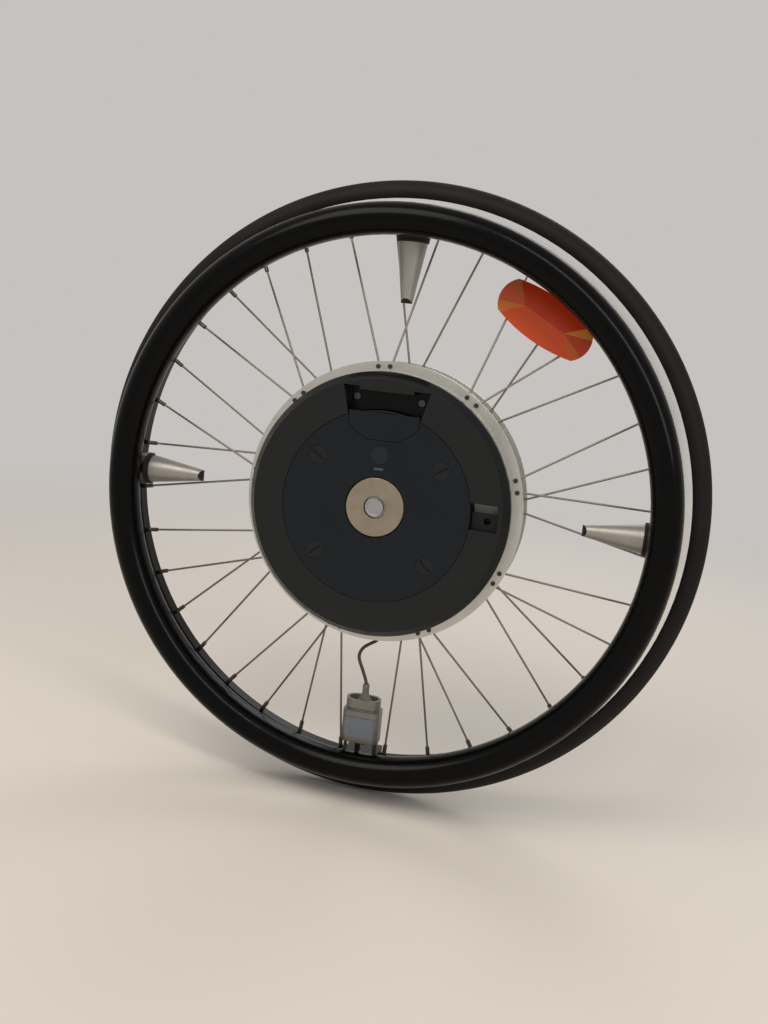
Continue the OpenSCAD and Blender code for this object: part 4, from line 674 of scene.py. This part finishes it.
@dataclass
class TyreAndRim:
    """Tyre, rim, spokes and nipples. The tyre gets a finer surface with shallow tread grooves."""

    section_r: float = 12.5
    section_centre_r: float = 282.5
    seat_r: float = 265.65
    lip_r: float = 277.65
    base_half: float = 8.85
    out: float = 42.0
    groove_deg: tuple[float, ...] = (-38.0, -19.0, 0.0, 19.0, 38.0)
    groove_mm: float = 0.45
    groove_half_deg: float = 2.2
    bulge_points: int = 131
    side_points: int = 6
    steps: int = 360

    def section(self) -> np.ndarray:
        """Works out the tyre's cross-section.

        The bulge is a circle whose radius dips by a bell curve at each groove; a straight-sided base goes down
        into the rim. The points run from the front lip over the tread to the rear lip, then round the base.

        Returns:
            Points as distance from the axle and distance out, in millimetres.
        """
        reach = math.degrees(math.acos((self.lip_r - self.section_centre_r) / self.section_r))
        angle = np.linspace(reach, -reach, self.bulge_points)
        dips = np.exp(-((angle[:, None] - np.array(self.groove_deg)) / self.groove_half_deg) ** 2).sum(axis=1)
        radius = self.section_r - self.groove_mm * dips
        turn = np.radians(angle)
        bulge = np.stack(
            [self.section_centre_r + radius * np.cos(turn), self.out + radius * np.sin(turn)], axis=1)
        height = np.linspace(self.lip_r, self.seat_r, self.side_points)
        side = np.full_like(height, self.base_half)
        rear = np.stack([height, self.out - side], axis=1)
        front = np.stack([height[::-1], self.out + side], axis=1)
        return np.concatenate([bulge, rear, front])

    def tyre(self) -> bpy.types.Object:
        """Turns the section round the axle: x = r cos t, z = r sin t, y = -out.

        Returns:
            The tyre.
        """
        section = self.section() * MM
        turn = np.linspace(0, 2 * math.pi, self.steps, endpoint=False)[:, None]
        radius, out = section[None, :, 0], section[None, :, 1]
        points = np.stack([radius * np.cos(turn), -out + 0 * turn, radius * np.sin(turn)], axis=-1)
        piece = surface("tyre_grooved", points, "wheel", TYRE_RUBBER)
        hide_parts("tyre")
        return piece

    def build(self) -> None:
        """Makes the tyre and dresses the rim and spokes."""
        dress({"tyre": TYRE_RUBBER, "rim": POLISHED_ALUMINIUM, "spokes_front": SPOKE_WIRE,
               "spokes_rear": SPOKE_WIRE, "spoke_nipples": NIPPLE_BRASS})
        self.tyre()


@dataclass
class PushRim:
    """Push rim with its arms and bolts, the tapered spring housings and their ribbed rubber boots, whose dark band
    also stands in as painted shade where the push rim shades the housing bases.
    """

    angles_deg: tuple[float, ...] = (0.0, 90.0, 180.0)
    back_out: float = 61.0
    tip_r: float = 184.0
    base_r: float = 243.0
    tip_half: float = 5.3
    base_half: float = 14.5
    boot_from: float = 237.5
    boot_to: float = 243.0
    boot_t: float = 0.9
    boot_rib: float = 0.5
    boot_ribs: int = 2
    boot_sunk: float = 0.3
    end_share: float = 0.06
    stations: int = 41
    arc_points: int = 33
    back_points: int = 9

    def half(self, radius: np.ndarray) -> np.ndarray:
        """Half width of the tapered housing, straight from tip to base."""
        share = (radius - self.tip_r) / (self.base_r - self.tip_r)
        return self.tip_half + share * (self.base_half - self.tip_half)

    def boot(self, angle_deg: float) -> np.ndarray:
        """Works out one boot: a sleeve round the housing's half-round section, with ribs along its length.

        The section is a half circle on a flat back. The outer wall stands off by the boot's thickness plus
        cosine ribs, the inner wall lies just inside the housing's face, and the two join at both ends.

        Args:
            angle_deg: the housing's angle about the axle.

        Returns:
            Points as stations by places round the section by three, in metres.
        """
        along = np.linspace(0, 1, self.stations)
        radius = self.boot_from + along * (self.boot_to - self.boot_from)
        ease = np.sqrt(np.clip(np.minimum(along, 1 - along) / self.end_share, 0, 1))
        rib = self.boot_rib * (0.5 - 0.5 * np.cos(2 * math.pi * self.boot_ribs * along))
        stand = np.concatenate([(self.boot_t + rib) * ease, np.full(2, -self.boot_sunk)])
        radius = np.concatenate([radius, radius[[-1, 0]]])
        half = self.half(radius) + stand
        turn = np.linspace(0, math.pi, self.arc_points)
        back = np.linspace(-1, 1, self.back_points + 2)[1:-1]
        unit_x = np.concatenate([np.cos(turn), back])
        unit_h = np.concatenate([np.sin(turn), np.zeros_like(back)])
        drop = np.concatenate([np.zeros_like(turn), np.ones_like(back)])
        side = half[:, None] * unit_x[None, :]
        out = self.back_out + half[:, None] * unit_h[None, :] - stand[:, None] * drop[None, :]
        t = math.radians(angle_deg)
        far = radius[:, None] + 0 * side
        x = far * math.cos(t) - side * math.sin(t)
        z = far * math.sin(t) + side * math.cos(t)
        return np.stack([x, -out, z], axis=-1) * MM

    def build(self) -> None:
        """Dresses the push rim's solids and puts a boot on each spring housing."""
        dress({"push_rim": GLOSS_BLACK, "push_rim_arms": DARK_COAT, "arm_bolts": BLACK_SCREW,
               "spring_housings": SILVER_PAINT, "housing_screws": ZINC_SCREW, "centring_springs": SPRING_STEEL})
        for number, angle in enumerate(self.angles_deg, 1):
            # the boots are ribbed sleeves, and their dark rubber also serves as painted shade at the housing bases
            surface(f"spring_boot_and_shade_{number}", self.boot(angle), "wheel", SEAL_RUBBER)


@dataclass
class Sensor:
    """Sensor housing with its window, gland, board and cable."""

    cable_d: float = 3.2
    span_points: int = 12
    gland_foot: tuple[float, float, float] = (4.05, -201.0, 72.0)
    gland_h: float = 25.0
    gland_neck: tuple[float, float] = (3.7, 3.0)
    gland_wide: tuple[float, float] = (11.5, 6.4)
    gland_flare: float = 0.7
    gland_ring: float = 0.3
    gland_rings: int = 4
    gland_gap: float = 0.05
    gland_steps: tuple[int, int] = (49, 48)
    lean_deg: float = 0.9
    route: tuple[tuple[float, float, float], ...] = (
        (3.88, -189.96, 72), (3.76, -181.96, 72), (3.66, -175.96, 72), (-0.4, -165.48, 71.7),
        (-4.8, -156.6, 71), (-6.7, -151.49, 70.3), (-6.3, -146.83, 69.4), (-3.9, -142.17, 68),
        (0.7, -138.58, 66), (6.4, -134.99, 63.5), (10, -130.51, 62.3), (11, -124.03, 62), (11, -113, 62))

    def path(self) -> np.ndarray:
        """Works out the cable's line: a curve through the route's points, in cubic spans with shared slopes.

        Returns:
            Points in metres, close together.
        """
        p = np.array([(x, -out, y) for x, y, out in self.route]) * MM
        slope = np.gradient(p, axis=0)
        t = np.linspace(0, 1, self.span_points, endpoint=False)[None, :, None]
        a, b, m, n = p[:-1, None], p[1:, None], slope[:-1, None], slope[1:, None]
        curve = ((2 * t**3 - 3 * t**2 + 1) * a + (t**3 - 2 * t**2 + t) * m
                 + (3 * t**2 - 2 * t**3) * b + (t**3 - t**2) * n)
        return np.concatenate([curve.reshape(-1, 3), p[-1:]])

    def cable(self) -> bpy.types.Object:
        """Makes the cable as a round bevelled curve from the gland to the drum.

        Returns:
            The cable.
        """
        path = self.path()
        curve = bpy.data.curves.new("sensor_lead", "CURVE")
        curve.dimensions = "3D"
        curve.bevel_depth = self.cable_d / 2 * MM
        curve.bevel_resolution = 6
        curve.use_fill_caps = True
        line = curve.splines.new("POLY")
        line.points.add(len(path) - 1)
        ends = np.column_stack([path, np.ones(len(path))])
        line.points.foreach_set("co", ends.reshape(-1).astype(np.float32))
        line.use_smooth = True
        curve.materials.append(CABLE_JACKET.material())
        piece = bpy.data.objects.new("sensor_lead", curve)
        bpy.context.scene.collection.objects.link(piece)
        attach(piece, "wheel")
        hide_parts("sensor_cable")
        return piece

    def gland(self) -> bpy.types.Object:
        """Makes the flared gland: a profile turned round the cable's line, wider across than it is deep.

        The wall eases from flare to neck by a squared cosine of the height, with shallow rings above it; the
        bore clears the cable, and the axis leans as the sensor does.

        Returns:
            The gland.
        """
        levels, places = self.gland_steps
        height = np.linspace(0, 1, levels)
        part = np.clip(height / self.gland_flare, 0, 1)
        ease = np.cos(part * math.pi / 2) ** 2
        wave = 0.5 - 0.5 * np.cos(2 * math.pi * self.gland_rings * height)
        ring = np.where(part < 1, 0, self.gland_ring * wave)
        neck, tip = self.gland_neck
        wall = neck + height * (tip - neck) + ring
        bore = np.full(2, self.cable_d / 2 + self.gland_gap)
        across, deep = (np.concatenate([wall + ease * (wide - neck), bore]) for wide in self.gland_wide)
        rise = np.concatenate([height, [1, 0]]) * self.gland_h
        turn = np.linspace(0, 2 * math.pi, places, endpoint=False)[:, None]
        side, out, up = across * np.cos(turn), deep * np.sin(turn), rise + 0 * turn
        lean = math.radians(self.lean_deg)
        x, y, mid = self.gland_foot
        points = np.stack([x + side * math.cos(lean) - up * math.sin(lean), -(mid + out),
                           y + side * math.sin(lean) + up * math.cos(lean)], axis=-1)
        piece = surface("gland_flared", points[::-1] * MM, "wheel", GLAND_NYLON)
        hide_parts("sensor_gland")
        return piece

    def build(self) -> None:
        """Dresses the sensor's solids and makes the cable and its gland."""
        dress({"sensor_housing": SENSOR_GREY, "sensor_window": SENSOR_GLAZE, "sensor_gland": GLAND_NYLON,
               "sensor_cable": CABLE_JACKET, "sensor_board": SOLDER_MASK})
        self.cable()
        self.gland()


@dataclass
class Reflector:
    """Spoke reflector: lens and back."""

    def build(self) -> None:
        """Dresses the reflector."""
        dress({"reflector_lens": AMBER_LENS, "reflector_back": AMBER_BACK})


@dataclass
class Hub:
    """Drum, rear housing, cover ring with its recess and pocket, and the centre disc."""

    def build(self) -> None:
        """Dresses the hub's solids."""
        dress({"hub_ring": TURNED_ALUMINIUM, "rear_housing": POWDER_BLACK, "rear_screws": ZINC_SCREW,
               "rear_seal": SEAL_RUBBER, "bulkhead": CAST_ALUMINIUM, "cover_ring": CHARCOAL_PLASTIC,
               "cover_screws": COVER_SCREW, "charging_socket": BLACK_PLASTIC, "centre_disc": CHAMPAGNE})


@dataclass
class BatteryPack:
    """Lid with its locks, handle flap and button, and the cells in their tray."""

    def build(self) -> None:
        """Dresses the pack's solids."""
        dress({"battery_lid": LID_PLASTIC, "battery_tray": BLACK_PLASTIC, "battery_cells": SHRINK_WRAP,
               "cell_links": NICKEL_PLATE, "battery_contacts": CONTACT_GOLD, "lid_gasket": SEAL_RUBBER,
               "button_switch": BLACK_PLASTIC, "status_light": LIGHT_WINDOW, "handle": LID_PLASTIC,
               "handle_pin": BLACK_SCREW, "lock_upper_right": LOCK_PLASTIC, "lock_upper_left": LOCK_PLASTIC,
               "lock_lower_left": LOCK_PLASTIC, "lock_lower_right": LOCK_PLASTIC,
               "power_button": BUTTON_SILICONE})


@dataclass
class Motor:
    """Axle, spindle, bearings, magnets, stator and board; the release spring is copied into a piece of its own on
    the axle unit.
    """

    def spring(self) -> None:
        """Copies the spring's coil into a piece of its own on the axle unit, and hides the original."""
        coil = bpy.data.objects.new("release_coil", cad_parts["release_spring"].data.copy())
        bpy.context.scene.collection.objects.link(coil)
        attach(coil, "axle_unit")
        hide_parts("release_spring")
        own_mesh(coil)

    def build(self) -> None:
        """Dresses the motor's and axle's solids and sets the spring."""
        dress({"quick_release_axle": GROUND_STEEL, "hub_spindle": TURNED_STEEL, "torque_plate": TURNED_STEEL,
               "torque_studs": GROUND_STEEL, "magnet_carrier": CAST_ALUMINIUM, "rotor_magnets": NICKEL_PLATE,
               "bearing_inner_rings": BEARING_STEEL, "bearing_balls": BEARING_STEEL,
               "bearing_outer_rings": BEARING_STEEL, "stator_core": SHEET_STACK, "stator_windings": COPPER_WIRE,
               "control_board": SOLDER_MASK, "contact_block": BLACK_PLASTIC, "release_button": BUTTON_ALUMINIUM,
               "release_rod": GROUND_STEEL, "release_spring": SPRING_STEEL, "lock_ball_right": BEARING_STEEL,
               "lock_ball_left": BEARING_STEEL})
        self.spring()


@dataclass(frozen=True)
class Lamp:
    """One lamp that faces the wheel: where it hangs, its sides, power and colour, and its roll about its beam."""

    name: str
    place: tuple[float, float, float]
    sides: tuple[float, float]
    watts: float
    colour: str
    roll_deg: float = 0.0

    def hang(self) -> None:
        """Adds the lamp to the scene."""
        light = bpy.data.lights.new(self.name, "AREA")
        light.shape = "RECTANGLE"
        light.size, light.size_y = self.sides
        light.energy = self.watts
        light.color = linear(self.colour)[:3]
        made = bpy.data.objects.new(self.name, light)
        aim = Vector((0.0, -0.06, 0.0)) - Vector(self.place)
        made.matrix_world = (Matrix.Translation(self.place) @ aim.to_track_quat("-Z", "Y").to_matrix().to_4x4()
                             @ Matrix.Rotation(math.radians(self.roll_deg), 4, "Z"))
        bpy.context.scene.collection.objects.link(made)


@dataclass
class Studio:
    """Pale floor, soft lamps, pale surroundings and the camera at the picture's place."""

    floor_z: float = -0.2955
    floor_half: float = 6.0
    pale: str = "#c6c2bf"
    ground: str = "#e2dacf"
    fade: tuple[float, float] = (0.55, 2.2)
    eye: tuple[float, float, float] = (0.2020, -0.954, 0.1439)
    right: tuple[float, float, float] = (0.9657, 0.2367, 0.1066)
    up: tuple[float, float, float] = (-0.1417, 0.1367, 0.9803)
    lens: float = 34.58
    sensor: float = 36.0
    near: float = 0.01
    soft: tuple[str, float] = ("#f4f4f6", 0.5)
    lamps: tuple[Lamp, ...] = (
        Lamp("key", (-0.7, -1.5, 1.7), (1.3, 1.3), 22.0, "#fff6ea"),
        Lamp("strip", (1.2, -1.6, 1.2), (2.4, 0.25), 18.0, "#f6f4f4", roll_deg=-45.0),
        Lamp("back", (0.3, 1.6, 1.3), (1.2, 1.2), 10.0, "#ffffff"))

    def seen(self, tree: bpy.types.NodeTree) -> bpy.types.NodeSocket:
        """Tells rays that carry the picture from rays that carry light.

        Args:
            tree: node tree of the floor or the world.

        Returns:
            One for camera, glossy and transmission rays.
        """
        path = add_node(tree, "ShaderNodeLightPath")
        sight = add_node(tree, "ShaderNodeMath", {"operation": "MAXIMUM"}, {
            0: path.outputs["Is Camera Ray"], 1: path.outputs["Is Glossy Ray"]})
        return add_node(tree, "ShaderNodeMath", {"operation": "MAXIMUM"}, {
            0: sight.outputs[0], 1: path.outputs["Is Transmission Ray"]}).outputs[0]

    def floor(self) -> None:
        """Lays a flat pale floor under the tyre, which fades with distance into the pale surroundings."""
        h = self.floor_half
        mesh = bpy.data.meshes.new("studio_floor")
        mesh.from_pydata([(-h, -h, self.floor_z), (h, -h, self.floor_z), (h, h, self.floor_z),
                          (-h, h, self.floor_z)], [], [(0, 1, 2, 3)])
        plain = Finish("studio_floor_matt", self.ground, self.ground, 0.9, cloud_mm=400.0, specular=0.1).material()
        tree = plain.node_tree
        shader = next(n for n in tree.nodes if n.type == "BSDF_PRINCIPLED")
        place = add_node(tree, "ShaderNodeTexCoord").outputs["Object"]
        away = add_node(tree, "ShaderNodeVectorMath", {"operation": "LENGTH"}, {0: place})
        far = add_node(tree, "ShaderNodeMapRange", {"interpolation_type": "SMOOTHSTEP"}, {
            "Value": away.outputs[1], 1: self.fade[0], 2: self.fade[1]})
        share = add_node(tree, "ShaderNodeMath", {"operation": "MULTIPLY"}, {
            0: far.outputs[0], 1: self.seen(tree)})
        pale = add_node(tree, "ShaderNodeEmission", inputs={0: linear(self.pale), 1: 1.0})
        mix = add_node(tree, "ShaderNodeMixShader", inputs={
            0: share.outputs[0], 1: shader.outputs[0], 2: pale.outputs[0]})
        out = next(n for n in tree.nodes if n.type == "OUTPUT_MATERIAL")
        tree.links.new(mix.outputs[0], out.inputs[0])
        mesh.materials.append(plain)
        piece = bpy.data.objects.new("studio_floor", mesh)
        bpy.context.scene.collection.objects.link(piece)

    def surroundings(self) -> None:
        """Fills the world with soft light, and shows the eye, metal and glass a plain pale tone."""
        world = bpy.data.worlds.new("studio_world")
        bpy.context.scene.world = world
        world.use_nodes = True
        tree = world.node_tree
        tree.nodes.clear()
        colour, strength = self.soft
        soft = add_node(tree, "ShaderNodeBackground", inputs={0: linear(colour), 1: strength})
        plain = add_node(tree, "ShaderNodeBackground", inputs={0: linear(self.pale), 1: 1.0})
        mix = add_node(tree, "ShaderNodeMixShader", inputs={
            0: self.seen(tree), 1: soft.outputs[0], 2: plain.outputs[0]})
        add_node(tree, "ShaderNodeOutputWorld", inputs={0: mix.outputs[0]})

    def camera(self) -> None:
        """Places the camera from its right and up directions; back is their cross product."""
        lens = bpy.data.cameras.new("camera")
        lens.lens = self.lens
        lens.sensor_width = self.sensor
        lens.clip_start = self.near
        made = bpy.data.objects.new("camera", lens)
        right, up = Vector(self.right).normalized(), Vector(self.up)
        back = right.cross(up).normalized()
        turn = Matrix((right, back.cross(right), back)).transposed().to_4x4()
        made.matrix_world = Matrix.Translation(self.eye) @ turn
        bpy.context.scene.collection.objects.link(made)
        bpy.context.scene.camera = made

    def build(self) -> None:
        """Sets up everything round the wheel."""
        bpy.context.scene.view_settings.view_transform = "Standard"
        self.camera()
        self.floor()
        self.surroundings()
        for lamp in self.lamps:
            lamp.hang()
        LOG.info("studio is set")


def main() -> None:
    """Builds the studio and every sub-assembly in order."""
    logging.basicConfig(level=logging.INFO, format="%(name)s: %(message)s")
    for part in (Studio(), Sensor(), TyreAndRim(), PushRim(), Reflector(), Hub(), BatteryPack(), Motor()):
        part.build()


if __name__ == "__main__":
    main()
